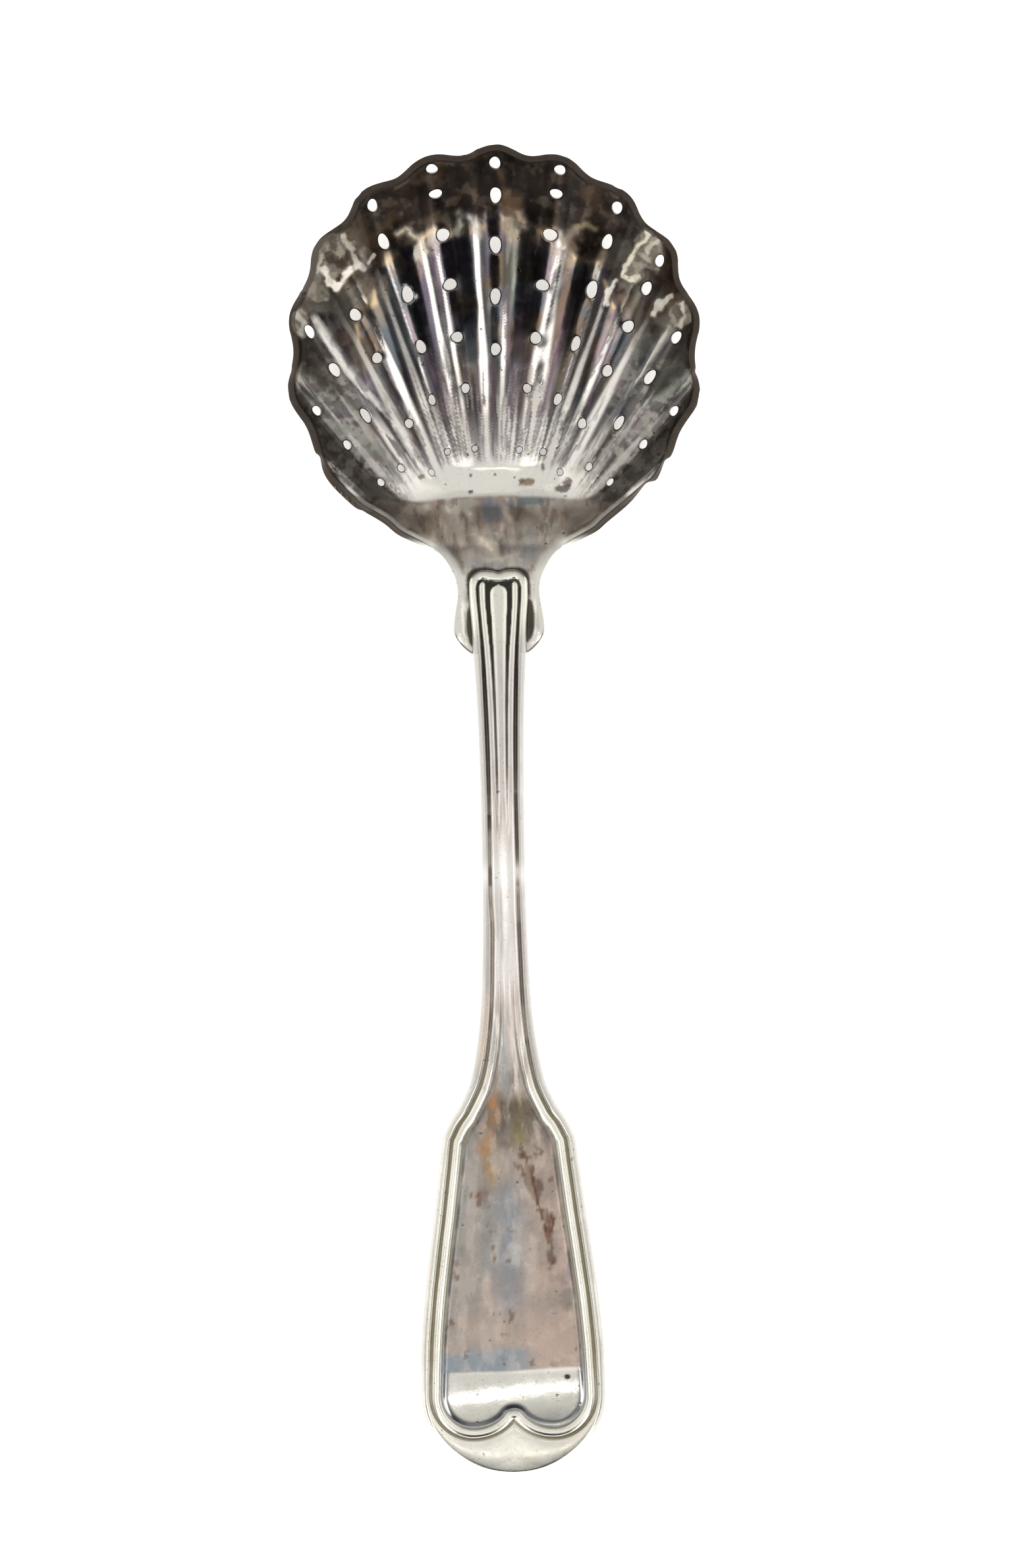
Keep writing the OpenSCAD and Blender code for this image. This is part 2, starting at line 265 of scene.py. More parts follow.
# the two outermost holes of flute -3 are closed by crust, so they are painted and not cut
_open = [i for i, h in enumerate(HOLES) if not (h[0] == -3 and h[1] > 47)]
CLOGGED, CLOGGED_2 = [HOLE_C[i] for i in range(len(HOLES)) if i not in _open]
HOLES = [HOLES[i] for i in _open]
HOLE_A, HOLE_C, HOLE_S, HOLE_P = HOLE_A[_open], HOLE_C[_open], HOLE_S[_open], HOLE_P[_open]


def hole_shape(i, t):
    """Outline factor of a hand-pierced hole at angle t."""
    return 1 + 0.05 * np.cos(2 * t + HOLE_P[i, 0]) + 0.035 * np.cos(3 * t + HOLE_P[i, 1])


def hole_field(x, y):
    """(ratio to the nearest hole's edge, 1 on the edge itself, and that hole's number)."""
    best = np.full(np.shape(x), 99.0)
    which = np.zeros(np.shape(x), int)
    for i in range(len(HOLES)):
        dx, dy = x - HOLE_C[i, 0], y - HOLE_C[i, 1]
        c, s = math.cos(HOLE_A[i]), math.sin(HOLE_A[i])
        u, v = (dx * c - dy * s) / HOLE_S[i, 0], (dx * s + dy * c) / HOLE_S[i, 1]
        near = np.hypot(u, v)
        rho = near / hole_shape(i, np.arctan2(v, u))
        closer = rho < best
        best = np.where(closer, rho, best)
        which = np.where(closer, i, which)
    return best, which


def dents(x, y):
    return 0.022 * waves(x, y, 3, 9, 5, 13) + 0.007 * waves(x, y, 8, 9, 2.2, 4)


def flutes(x, y, sk):
    amp = flute_amp(x, y)
    q = fan_q(x, y) + 0.022 * waves(x, y, 21, 5, 12, 30)
    c = np.cos(2 * math.pi * q)
    # the ridges end in low arches some way inside the rim
    edge = BOWL_R - np.hypot(x, y - RIM_Y)
    c = np.where(c < 0, c * (1 - 0.42 * ease(9.3, 7.7, edge + 0.3 * waves(x, y, 25, 5, 5, 12))), c)
    return amp * c * np.minimum(sk, 2.4)


def inner_z(x, y, holes=True):
    z = smooth_z(x, y) - flutes(x, y, slope_k(x, y)) + dents(x, y) * ease(33, 36, y)
    if holes:
        rho, _ = hole_field(x, y)
        z = z - 0.12 * np.where(rho < 1.2, ((1.2 - np.maximum(rho, 0.7)) / 0.2) ** 2, 0.0)
        z = z - 0.05 * np.exp(-np.maximum(rho - 1, 0) / 0.45) * (rho < 4)
    # the tang: a flat seat with low domed ears beside the handle
    t = tang_plane(y)
    d = np.abs(x) - w_at(np.minimum(y, 32.0))
    dome = 0.30 * ease(0.25, 1.5, d) * (1 - 0.35 * ease(1.7, 2.6, d)) - 0.10 * ease(-0.1, 0.2, d)
    t = t + dome * ease(31.0, 26.5, y) - 0.75 * ease(24.2, 21.4, y) * ease(0.2, 2.0, d)
    t = t + 0.16 * ease(28, 31.5, y) * ease(0.5, 1.6, d)
    return mix(t, z, ease(32.0, 36.2, y))


def wall_t(y):
    return np.where(
        y > NECK_Y, mix(SHEET_T, HEEL_T, ease(60, 46, y)), mix(HEEL_T, 1.3, ease(NECK_Y, 29, y))
    )


def outer_z(x, y, holes=True):
    sk = slope_k(x, y, 0.0)
    t = wall_t(y)
    # the flutes are a little softer outside, where the sheet's thickness rounds them
    z = smooth_z(x, y, 0.0) - 0.9 * flutes(x, y, sk) - t * np.minimum(sk, 2.6) + dents(x + 40, y) * ease(33, 36, y)
    if holes:
        rho, _ = hole_field(x, y)
        z = z + 0.06 * np.where(rho < 1.2, ((1.2 - np.maximum(rho, 0.7)) / 0.2) ** 2, 0.0)
    seat = tang_plane(y) - t * 1.008
    return mix(seat, z, ease(32.0, 36.2, y))


def normals_of(f, x, y, e=0.03):
    dx = (f(x + e, y) - f(x - e, y)) / (2 * e)
    dy = (f(x, y + e) - f(x, y - e)) / (2 * e)
    n = np.stack([-dx, -dy, np.ones_like(dx)], -1)
    return n / np.linalg.norm(n, axis=-1, keepdims=True)


# ---------------------------------------------------------------- mesh helpers
def resample(points, step):
    """Points along an open polyline at an even spacing near step, both ends kept."""
    p = np.asarray(points, float)
    s = np.concatenate([[0], np.cumsum(np.linalg.norm(np.diff(p, axis=0), axis=1))])
    n = max(2, int(round(s[-1] / step)) + 1)
    t = np.linspace(0, s[-1], n)
    return np.stack([np.interp(t, s, p[:, 0]), np.interp(t, s, p[:, 1])], -1)


def spline(points, per=12):
    """A Catmull-Rom curve through points."""
    p = np.asarray(points, float)
    p = np.vstack([2 * p[0] - p[1], p, 2 * p[-1] - p[-2]])
    out = []
    for i in range(1, len(p) - 2):
        for t in np.arange(per) / per:
            out.append(
                0.5
                * (
                    2 * p[i]
                    + (p[i + 1] - p[i - 1]) * t
                    + (2 * p[i - 1] - 5 * p[i] + 4 * p[i + 1] - p[i + 2]) * t * t
                    + (3 * p[i] - p[i - 1] - 3 * p[i + 1] + p[i + 2]) * t**3
                )
            )
    out.append(p[-2])
    return np.array(out)


def inside(poly, pts):
    """Even-odd test of points against a closed outline."""
    x, y = pts[:, 0], pts[:, 1]
    res = np.zeros(len(pts), bool)
    a, b = poly, np.roll(poly, -1, axis=0)
    for (x1, y1), (x2, y2) in zip(a, b):
        if y1 == y2:
            continue
        hit = (y1 > y) != (y2 > y)
        if hit.any():
            xc = x1 + (y[hit] - y1) * (x2 - x1) / (y2 - y1)
            res[hit] ^= x[hit] < xc
    return res


def nearest(points, targets, chunk=4000):
    """Distance from each point to the nearest target point."""
    out = np.empty(len(points))
    for i in range(0, len(points), chunk):
        d = points[i : i + chunk, None, :] - targets[None, :, :]
        out[i : i + chunk] = np.sqrt((d * d).sum(-1).min(1))
    return out


def hexgrid(x0, x1, y0, y1, h):
    ys = np.arange(y0, y1, h * 0.8660254)
    rows = []
    for j, y in enumerate(ys):
        xs = np.arange(x0, x1, h) + (0.5 * h if j % 2 else 0)
        rows.append(np.stack([xs, np.full_like(xs, y)], -1))
    return np.vstack(rows)


def triangulate(points, loops):
    """Triangles inside the first loop and outside the others, anticlockwise seen from above."""
    edges = []
    for loop in loops:
        edges += list(zip([int(i) for i in loop], [int(i) for i in np.roll(loop, -1)]))
    vs, _, faces, _, _, _ = delaunay_2d_cdt([Vector((float(a), float(b))) for a, b in points], edges, [], 1, 1e-6)
    if len(vs) != len(points):
        raise RuntimeError(f"the triangulation has {len(vs)} points for {len(points)}")
    tri = np.array([tuple(f) for f in faces], int)
    owner = np.full(len(points), -1)
    for k, loop in enumerate(loops[1:]):
        owner[np.asarray(loop, int)] = k
    o = owner[tri]
    tri = tri[~((o[:, 0] >= 0) & (o[:, 0] == o[:, 1]) & (o[:, 1] == o[:, 2]))]
    p = np.asarray(points)
    a, b, c = p[tri[:, 0]], p[tri[:, 1]], p[tri[:, 2]]
    area = (b[:, 0] - a[:, 0]) * (c[:, 1] - a[:, 1]) - (b[:, 1] - a[:, 1]) * (c[:, 0] - a[:, 0])
    flip = area < 0
    tri[flip] = tri[flip][:, ::-1]
    return tri


def strip(a, b, closed=True):
    """Triangles between two equal rows of point numbers."""
    a, b = np.asarray(a, int), np.asarray(b, int)
    if closed:
        a2, b2 = np.roll(a, -1), np.roll(b, -1)
    else:
        a, b, a2, b2 = a[:-1], b[:-1], a[1:], b[1:]
    return np.vstack([np.stack([a, b, b2], -1), np.stack([a, b2, a2], -1)])


def make_piece(name, verts, tris, normals=None, values=None):
    """A mesh object from millimetre points, with exact vertex normals and named values."""
    me = bpy.data.meshes.new(name)
    v = np.asarray(verts, float) * MM
    t = np.asarray(tris, int)
    me.vertices.add(len(v))
    me.vertices.foreach_set("co", v.astype(np.float32).ravel())
    me.loops.add(len(t) * 3)
    me.loops.foreach_set("vertex_index", t.astype(np.int32).ravel())
    me.polygons.add(len(t))
    me.polygons.foreach_set("loop_start", (np.arange(len(t)) * 3).astype(np.int32))
    me.polygons.foreach_set("use_smooth", np.ones(len(t), bool))
    me.update(calc_edges=True)
    me.validate()
    if normals is not None:
        me.normals_split_custom_set_from_vertices([tuple(n) for n in np.asarray(normals, float)])
    for key, val in (values or {}).items():
        val = np.asarray(val, np.float32)
        if val.ndim == 2:
            a = me.attributes.new(key, "FLOAT_COLOR", "POINT")
            a.data.foreach_set("color", np.column_stack([val, np.ones(len(val), np.float32)]).ravel())
        else:
            a = me.attributes.new(key, "FLOAT", "POINT")
            a.data.foreach_set("value", val)
    ob = bpy.data.objects.new(name, me)
    bpy.context.scene.collection.objects.link(ob)
    return ob


# ---------------------------------------------------------------- bowl mesh
SIDE = [
    [15.0, 39.8], [13.2, 38.2], [11.4, 37.15], [9.75, 36.3], [8.5, 35.45], [7.6, 34.55], [6.95, 33.65], [6.45, 32.75],
    [6.03, 31.85], [5.76, 30.95], [5.63, 30.05], [5.63, 29.2], [5.75, 28.3], [5.92, 27.4], [6.08, 26.5], [6.2, 25.6],
    [6.24, 24.7], [6.05, 23.8], [5.6, 22.95], [4.9, 22.1], [3.9, 21.3],
]


def rim_points(a_deg):
    a = np.radians(a_deg)
    q = (a_deg - FAN_TURN) / STEP
    d = np.stack([np.sin(a), np.cos(a)], -1)
    o = np.array([FAN_X, FAN_Y - RIM_Y])
    b = d @ o
    s = np.sqrt(np.maximum(0, b * b - (o @ o - BOWL_R**2)))
    p = o + d * (-b + s)[:, None]
    # lobes come out a little uneven, as on a hand-finished rim
    uneven = 1 + 0.12 * np.sin(2.3 * q + 1.0)
    out = LOBE_A * uneven * np.cos(2 * math.pi * q) * ease(53.5, 47, np.abs(a_deg))
    # small nicks and wear along the edge
    arc = np.radians(a_deg) * BOWL_R
    out = out + 0.13 * (fbm(arc + 60, 0 * arc + 3, 1.5, 521, 3) - 0.5) - 0.10 * ease(0.66, 0.74, fbm(arc + 60, 0 * arc + 9, 1.1, 523, 2))
    out = np.minimum(out, LOBE_A)
    pts = p * (1 + (out / np.linalg.norm(p, axis=1)))[:, None]
    return pts + np.array([0, RIM_Y])


def bowl_outline(step):
    rim = rim_points(np.linspace(-51.5, 51.5, 1200))
    right = spline([rim[-1].tolist()] + SIDE, 16)
    left = spline([[-x, y] for x, y in reversed(SIDE)] + [rim[0].tolist()], 16)
    line = np.vstack([rim[:-1], right[:-1], left[:-1]])
    line = np.vstack([line, line[:1]])
    return resample(line, step)[:-1]


def build_bowl():
    out = bowl_outline(0.22)
    m = len(out)
    # frames along the outline: normal, outward direction in the surface
    z = inner_z(out[:, 0], out[:, 1], False)
    s3 = np.column_stack([out, z])
    n = normals_of(lambda a, b: inner_z(a, b, False), out[:, 0], out[:, 1], 0.08)
    tan = np.roll(s3, -1, axis=0) - np.roll(s3, 1, axis=0)
    tan /= np.linalg.norm(tan, axis=1, keepdims=True)
    e = np.cross(tan, n)
    e /= np.linalg.norm(e, axis=1, keepdims=True)
    centre = np.array([0, 50.0])
    if ((out - centre) * e[:, :2]).sum() < 0:
        e = -e
    for _ in range(3):
        n = (np.roll(n, 1, axis=0) + n + np.roll(n, -1, axis=0)) / 3
        e = (np.roll(e, 1, axis=0) + e + np.roll(e, -1, axis=0)) / 3
    n /= np.linalg.norm(n, axis=1, keepdims=True)
    e -= n * (e * n).sum(1, keepdims=True)
    e /= np.linalg.norm(e, axis=1, keepdims=True)
    t = wall_t(out[:, 1])
    r = 0.2
    top_line = (s3 - r * e)[:, :2]
    low3 = s3 - t[:, None] * n
    low_line = (low3 - r * e)[:, :2]

    def sheet(line, f, h, shift, bands=()):
        """One skin: its points, the outline's and the holes' point numbers, and its triangles."""
        rings, ring_pts, count = [], [], len(line)
        th = np.linspace(0, 2 * math.pi, 28, endpoint=False)
        for i in range(len(HOLES)):
            c, s = math.cos(HOLE_A[i]), math.sin(HOLE_A[i])
            shape = hole_shape(i, th)
            for k, fac in enumerate((1.0, 1.05, 1.12, 1.22, 1.36, 1.55)):
                u, v = HOLE_S[i, 0] * fac * shape * np.cos(th), HOLE_S[i, 1] * fac * shape * np.sin(th)
                p = np.stack([HOLE_C[i, 0] + u * c + v * s, HOLE_C[i, 1] - u * s + v * c], -1)
                if shift is not None:
                    p = p + shift[i]
                if k == 0:
                    rings.append(np.arange(len(th)) + count)
                ring_pts.append(p)
                count += len(p)
        extra = np.vstack(ring_pts)
        # ring points that come too close to the rim are left out, but never a hole's own edge
        keep = np.ones(len(extra), bool)
        near = nearest(extra, line) < 0.2
        ok = inside(line, extra)
        first = np.zeros(len(extra), bool)
        for i in range(len(HOLES)):
            first[i * 6 * 28 : i * 6 * 28 + 28] = True
        keep = first | (ok & ~near)
        new_number = np.cumsum(keep) - 1 + len(line)
        rings = [new_number[r_ - len(line)] for r_ in rings]
        extra = extra[keep]
        # rows of points that run along just inside the outline
        rows = [line - e[:, :2] / np.linalg.norm(e[:, :2], axis=1, keepdims=True) * b for b in bands]
        if rows:
            rows = np.vstack(rows)
            rho, _ = hole_field(rows[:, 0], rows[:, 1])
            rows = rows[inside(line, rows) & (nearest(rows, line) > 0.1) & (rho > 1.8)]
            extra = np.vstack([extra, rows])
        g = hexgrid(-29, 29, 20.5, 90.5, h)
        g = g[inside(line, g)]
        g = g[nearest(g, line) > (max(bands) if bands else 0) + 0.6 * h]
        sh = shift if shift is not None else np.zeros((len(HOLES), 2))
        rho = np.full(len(g), 99.0)
        for i in range(len(HOLES)):
            dx, dy = g[:, 0] - HOLE_C[i, 0] - sh[i, 0], g[:, 1] - HOLE_C[i, 1] - sh[i, 1]
            c, s = math.cos(HOLE_A[i]), math.sin(HOLE_A[i])
            u, v = (dx * c - dy * s) / HOLE_S[i, 0], (dx * s + dy * c) / HOLE_S[i, 1]
            rho = np.minimum(rho, np.hypot(u, v) / hole_shape(i, np.arctan2(v, u)))
        g = g[rho > 1.55 + 0.6 * h / 0.85]
        pts = np.vstack([line, extra, g])
        tri = triangulate(pts, [np.arange(len(line))] + rings)
        return pts, rings, tri

    # the holes go nearly straight down, as a punch from above leaves them
    hn = normals_of(lambda a, b: inner_z(a, b, False), HOLE_C[:, 0], HOLE_C[:, 1], 0.1)
    d = hn * 0.22 + np.array([0, 0, 1.0])
    d /= np.linalg.norm(d, axis=1, keepdims=True)
    zc = inner_z(HOLE_C[:, 0], HOLE_C[:, 1], False)
    length = np.full(len(HOLES), 1.0)
    for _ in range(12):
        p = HOLE_C - d[:, :2] * length[:, None]
        length = mix(length, (zc - outer_z(p[:, 0], p[:, 1], False)) / d[:, 2], 0.7)
    shift = -d[:, :2] * length[:, None]

    step_top, step_low = ((0.22, 0.36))
    tp, tr, tt = sheet(top_line, inner_z, step_top, None, (0.14, 0.28, 0.42, 0.57, 0.73, 0.9))
    lp, lr, lt = sheet(low_line, outer_z, step_low, shift)

    tz = inner_z(tp[:, 0], tp[:, 1])
    lz = outer_z(lp[:, 0], lp[:, 1], False)
    # keep the skins apart and join the outlines on their exact points
    top = np.column_stack([tp, tz])
    low = np.column_stack([lp, lz])
    low[:m] = low3 - r * e
    top[:m, 2] = (s3 - r * e)[:, 2]
    low[:, 2] = np.maximum(low[:, 2], 0)
    tn = normals_of(inner_z, tp[:, 0], tp[:, 1])
    ln = -normals_of(lambda a, b: outer_z(a, b, False), lp[:, 0], lp[:, 1])
    flat = low[:, 2] <= 0.0005
    ln[flat] = [0, 0, -1]

    verts, norms, tris = [top, low], [tn, ln], [tt, lt[:, ::-1] + len(top)]
    base = len(top) + len(low)
    # rounded rim
    prev = np.arange(m)
    for k in range(1, 8):
        if k <= 4:
            a = math.pi / 2 * k / 4
            p = s3 - r * n - r * e + r * (math.cos(a) * n + math.sin(a) * e)
            nn = math.cos(a) * n + math.sin(a) * e
        else:
            a = math.pi / 2 * (k - 4) / 4
            p = low3 + r * n - r * e + r * (-math.sin(a) * n + math.cos(a) * e)
            nn = -math.sin(a) * n + math.cos(a) * e
        p[:, 2] = np.maximum(p[:, 2], 0)
        verts.append(p)
        norms.append(nn)
        cur = base + np.arange(m)
        tris.append(strip(prev, cur))
        prev = cur
        base += m
        if k == 4:
            verts.append(low3 + r * n)
            norms.append(e.copy())
            cur = base + np.arange(m)
            tris.append(strip(prev, cur))
            prev = cur
            base += m
    tris.append(strip(prev, len(top) + np.arange(m)))
    # the outline runs clockwise or not: the strips' facing is fixed further down, from the normals
    # hole walls
    wall_n = []
    for i in range(len(HOLES)):
        a, b = tr[i], lr[i] + len(top)
        pa = top[tr[i]]
        pb = low[lr[i]]
        c = pa.mean(0)
        rows = [a]
        for f in (0.12, 0.5, 0.88):
            p = mix(pa, pb, f)
            inward = c[:2] - pa[:, :2]
            inward /= np.linalg.norm(inward, axis=1, keepdims=True)
            p[:, :2] += inward * 0.03
            verts.append(p)
            norms.append(np.column_stack([inward, np.zeros(len(p))]))
            rows.append(base + np.arange(len(p)))
            base += len(p)
        rows.append(b)
        for r0, r1 in zip(rows[:-1], rows[1:]):
            wall_n.append(strip(r0, r1))
    verts, norms, tris_all = np.vstack(verts), np.vstack(norms), None

    def oriented(tri):
        p = verts[tri]
        fnrm = np.cross(p[:, 1] - p[:, 0], p[:, 2] - p[:, 0])
        want = norms[tri].sum(1)
        return (fnrm * want).sum() >= 0

    fixed = []
    for tri in tris + wall_n:
        fixed.append(tri if oriented(tri) else tri[:, ::-1])
    tris_all = np.vstack(fixed)
    values = bowl_values(verts, norms, len(top), len(low), out)
    return make_piece("bowl_shell", verts, tris_all, norms, values)


def over(col, tint, amount):
    """Lays a tint over colours, by an amount from 0 to 1 at each point."""
    a = clamp01(amount)[:, None]
    return col * (1 - a) + np.asarray(tint, float)[None, :] * a


def blob(x, y, cx, cy, rx, ry, seed, turn=0.0, rough=0.5, size=1.2):
    """A stain with an uneven edge: 1 inside, 0 outside."""
    c, s = math.cos(turn), math.sin(turn)
    u, v = (x - cx) * c + (y - cy) * s, -(x - cx) * s + (y - cy) * c
    d = np.hypot(u / rx, v / ry) + rough * (fbm(x, y, size, seed) - 0.5) * 2
    return ease(1.25, 0.75, d)


# slopes of the flutes left free of the dark film, as painted highlights where the reflections fall: place in flutes
# from the middle one, half-width, how clean
HIGHLIGHT_STREAKS = [
    (-5.75, 0.06, 0.3), (-5.3, 0.07, 0.35), (-4.78, 0.06, 0.8), (-4.25, 0.07, 0.6), (-3.80, 0.065, 0.95), (-3.27, 0.06, 0.8),
    (-2.72, 0.055, 1.0), (-2.28, 0.045, 0.9), (-2.04, 0.025, 0.7), (-1.34, 0.042, 1.0), (-1.08, 0.028, 0.85), (-0.34, 0.045, 1.0),
    (0.21, 0.028, 0.8), (0.62, 0.05, 0.12), (1.24, 0.10, 1.0), (1.72, 0.03, 0.25), (2.08, 0.025, 0.7), (2.32, 0.04, 0.9),
    (2.74, 0.04, 0.7), (3.28, 0.07, 0.9), (3.76, 0.055, 0.8), (4.27, 0.065, 0.7), (4.80, 0.06, 0.75), (5.35, 0.07, 0.35), (5.75, 0.06, 0.3),
]


def stroke(x, y, path, width, seed, rough=0.5, size=1.4):
    """1 along a hand-drawn line of some width, with an uneven edge, and 0 away from it."""
    px = x + rough * 2 * (fbm(x, y, size, seed, 3) - 0.5)
    py = y + rough * 2 * (fbm(x, y, size, seed + 1, 3) - 0.5)
    dist = np.full(len(x), 99.0)
    for (x1, y1), (x2, y2) in zip(path[:-1], path[1:]):
        k = clamp01(((px - x1) * (x2 - x1) + (py - y1) * (y2 - y1)) / ((x2 - x1) ** 2 + (y2 - y1) ** 2))
        dist = np.minimum(dist, np.hypot(px - x1 - k * (x2 - x1), py - y1 - k * (y2 - y1)))
    return ease(1.35, 0.55, dist / (width * (0.22 + 0.56 * fbm(x, y, 1.3, seed + 2, 3))))


def smear(x, y, path, width, seed, rough=0.3):
    """A soft wiped line: 1 along its middle, fading to both sides, uneven along its length."""
    px = x + rough * 2 * (fbm(x, y, 1.2, seed, 3) - 0.5)
    py = y + rough * 2 * (fbm(x, y, 1.2, seed + 1, 3) - 0.5)
    dist = np.full(len(x), 99.0)
    for (x1, y1), (x2, y2) in zip(path[:-1], path[1:]):
        k = clamp01(((px - x1) * (x2 - x1) + (py - y1) * (y2 - y1)) / ((x2 - x1) ** 2 + (y2 - y1) ** 2))
        dist = np.minimum(dist, np.hypot(px - x1 - k * (x2 - x1), py - y1 - k * (y2 - y1)))
    return np.exp(-(dist / width) ** 2) * (0.45 + 0.55 * ease(0.36, 0.58, fbm(x, y, 1.6, seed + 2, 3)))


def bowl_values(v, n, n_top, n_low, line):
    """The bowl's tarnish, with painted highlights and shade, at each point: its tint, its dullness and its crust."""
    x, y = v[:, 0], v[:, 1]
    q, t = fan_q(x, y), flute_t(x, y)
    pres = ease(0.0, 0.16, t) * np.maximum(ease(42.0, 45.5, y), ease(9.5, 13.0, np.abs(x)) * ease(39.0, 41.5, y))
    cs = np.cos(2 * math.pi * (q + 0.022 * waves(x, y, 21, 5, 12, 30)))
    edge = BOWL_R - np.hypot(x + 0.3, y - RIM_Y)
    d_out = nearest(v[:, :2], line)
    along = fan_r(x, y)
    # streaks that run along the flutes
    streak = fbm(q * 7.0, along * 0.16, 1.0, 401, 4)
    streak2 = fbm(q * 11.0, along * 0.20, 1.0, 431, 4)
    patch = fbm(q * 3.2, along * 0.10, 1.0, 433, 4)
    blotch = fbm(x, y, 7.5, 91, 5)
    speck = fbm(x, y, 1.6, 97, 4)
    far = ease(56, 74, y)
    mid = ease(3.6, 1.8, np.abs(q))
    rho, which = hole_field(x, y)

    col = np.tile(np.array([0.93, 0.90, 0.86]), (len(x), 1))
    dull = np.full(len(x), 0.055)
    # general warm film
    col = over(col, (0.70, 0.64, 0.58), 0.45 * ease(0.4, 0.75, blotch))
    # painted highlights: some slopes between crests and hollows are left free of the dark film, the rest keeps it
    qw = q + 0.05 * (fbm(along * 0.12, q, 1.0, 441, 3) - 0.5)
    clean_and_highlight = np.zeros(len(x))
    wide = mix(1.0, 2.5, ease(0.62, 0.25, t))
    for c, w, k in HIGHLIGHT_STREAKS:
        clean_and_highlight = np.maximum(clean_and_highlight, k * ease(1.7, 0.6, np.abs(qw - c) / (w * wide)))
    # the painted highlight on the flank right of the middle hollow is kept to the lower half of the wall
    clean_and_highlight = clean_and_highlight * (1 - ease(66.5, 69.5, y) * ease(0.12, 0.06, np.abs(q - 0.21)))
    # towards the bottom the film breaks up into lines
    low = ease(0.36, 0.15, t)
    lines = fbm(q * 8.0, along * 0.13, 1.0, 451, 3) + 0.22 * (0.5 - np.abs(cs))
    clean_and_highlight = np.maximum(clean_and_highlight, low * ease(mix(0.47, 0.42, ease(0.24, 0.06, t)), mix(0.55, 0.50, ease(0.24, 0.06, t)), lines) * 0.95)
    thin = ease(0.56, 0.64, streak2)
    film = (1 - clean_and_highlight) * mix(0.86 + 0.14 * ease(0.35, 0.6, streak), 0.7 + 0.3 * ease(0.35, 0.6, streak), low) * (1 - mix(0.22, 0.45, low) * thin)
    film = np.maximum(film, 0.6 * ease(0.60, 0.68, streak2) * ease(0.42, 0.60, patch))
    film = clamp01(film * pres * mix(0.94, 1.0, far))
    hue = fbm(x + 50, y, 8, 131, 3)
    tint = mix(np.array([0.10, 0.085, 0.115])[None, :], np.array([0.13, 0.09, 0.060])[None, :], ease(0.40, 0.60, hue)[:, None])
    tint = mix(tint, np.array([0.085, 0.10, 0.115])[None, :], ease(0.5, 0.7, fbm(x, y + 80, 6, 137, 3))[:, None])
    tint = mix(tint, np.array([0.30, 0.22, 0.27])[None, :], 0.7 * ease(0.50, 0.66, patch)[:, None])
    # purple along two hollows, grey-green on one crest, and painted shade: a darker film on the steep flanks
    purple = np.maximum(gauss(q - 0.62, 0.16), gauss(q - 1.68, 0.18)) * ease(72, 64, y)
    tint = mix(tint, np.array([0.33, 0.21, 0.28])[None, :], (0.8 * purple * ease(0.3, 0.55, streak))[:, None])
    tint = mix(tint, np.array([0.17, 0.19, 0.16])[None, :], (0.8 * gauss(q - 0.35, 0.13) * ease(66, 71, y))[:, None])
    tint = tint * (1 - 0.62 * ease(0.78, 0.35, np.abs(cs)) * ease(0.40, 0.52, t))[:, None]
    tint = tint * mix(0.42, 1.0, np.maximum(ease(0.42, 0.55, t), ease(0.22, 0.10, t)))[:, None]
    a = (0.985 * mix(0.72, 1.0, ease(0.07, 0.24, t)) * (1 - (1 - film) ** 2.2))[:, None]
    col = col * (1 - a) + tint * a
    # old polish left in fine lines
    fine = ease(0.57, 0.64, fbm(q * 15.0, along * 0.22, 1.0, 437, 3)) * ease(46.8, 48.2, y + 0.01 * x * x) * ease(0.55, 0.3, t)
    col = over(col, (0.13, 0.10, 0.085), 0.6 * fine)
    # sides are greyer
    side = ease(13, 21, np.abs(x)) * (1 - far * 0.6)
    col = over(col, (0.30, 0.285, 0.26), side * 0.16 * ease(0.35, 0.6, streak))
    # brown rim zone
    ez = edge + 2.4 * (fbm(x, y, 4.5, 151, 4) - 0.5) + 0.8 * cs * pres
    rim = ease(9.4, 7.2, ez) * np.maximum(ease(42, 50, y), ease(10, 14, np.abs(x)) * ease(39, 43, y))
    brown = mix(np.array([0.026, 0.019, 0.015])[None, :], np.array([0.10, 0.062, 0.036])[None, :],
                ease(0.46, 0.74, fbm(x, y, 3.6, 161, 5))[:, None])
    brown = mix(brown, np.array([0.10, 0.095, 0.08])[None, :], (0.75 * (1 - far) * ease(0.4, 0.65, streak))[:, None])
    shoulder = ease(14, 19, np.abs(x)) * ease(81, 77, y)
    brown = mix(brown, np.array([0.17, 0.16, 0.135])[None, :], (0.75 * shoulder * ease(0.36, 0.60, fbm(x, y, 2.8, 165, 5)))[:, None])
    amount = rim * mix(0.52, 0.985, clamp01(ease(54, 68, y) + 0.5 * (blotch - 0.5)))
    amount = amount * (1 - 0.65 * (1 - far) * np.maximum(clean_and_highlight, ease(0.50, 0.60, streak2)) * ease(1.5, 4.0, edge))
    a = clamp01(amount)[:, None]
    col = col * (1 - a) + brown * a
    col = over(col, (0.15, 0.115, 0.085), 0.5 * amount * ease(0.52, 0.66, fbm(x, y, 1.5, 163, 4)))
    col = over(col, (0.012, 0.010, 0.009), 0.6 * amount * ease(0.54, 0.66, fbm(x, y, 2.1, 167, 4)) * (1 - 0.6 * shoulder))
    lower = rim * ease(66, 58, y)
    col = over(col, (0.40, 0.385, 0.345), 0.6 * lower * ease(0.50, 0.62, fbm(x * 1.3, y * 1.3, 1.5, 191, 5)))
    col = over(col, (0.20, 0.215, 0.19), 0.5 * lower * ease(0.48, 0.62, fbm(x, y, 2.6, 193, 4)))
    dull = dull + 0.16 * amount + 0.07 * film
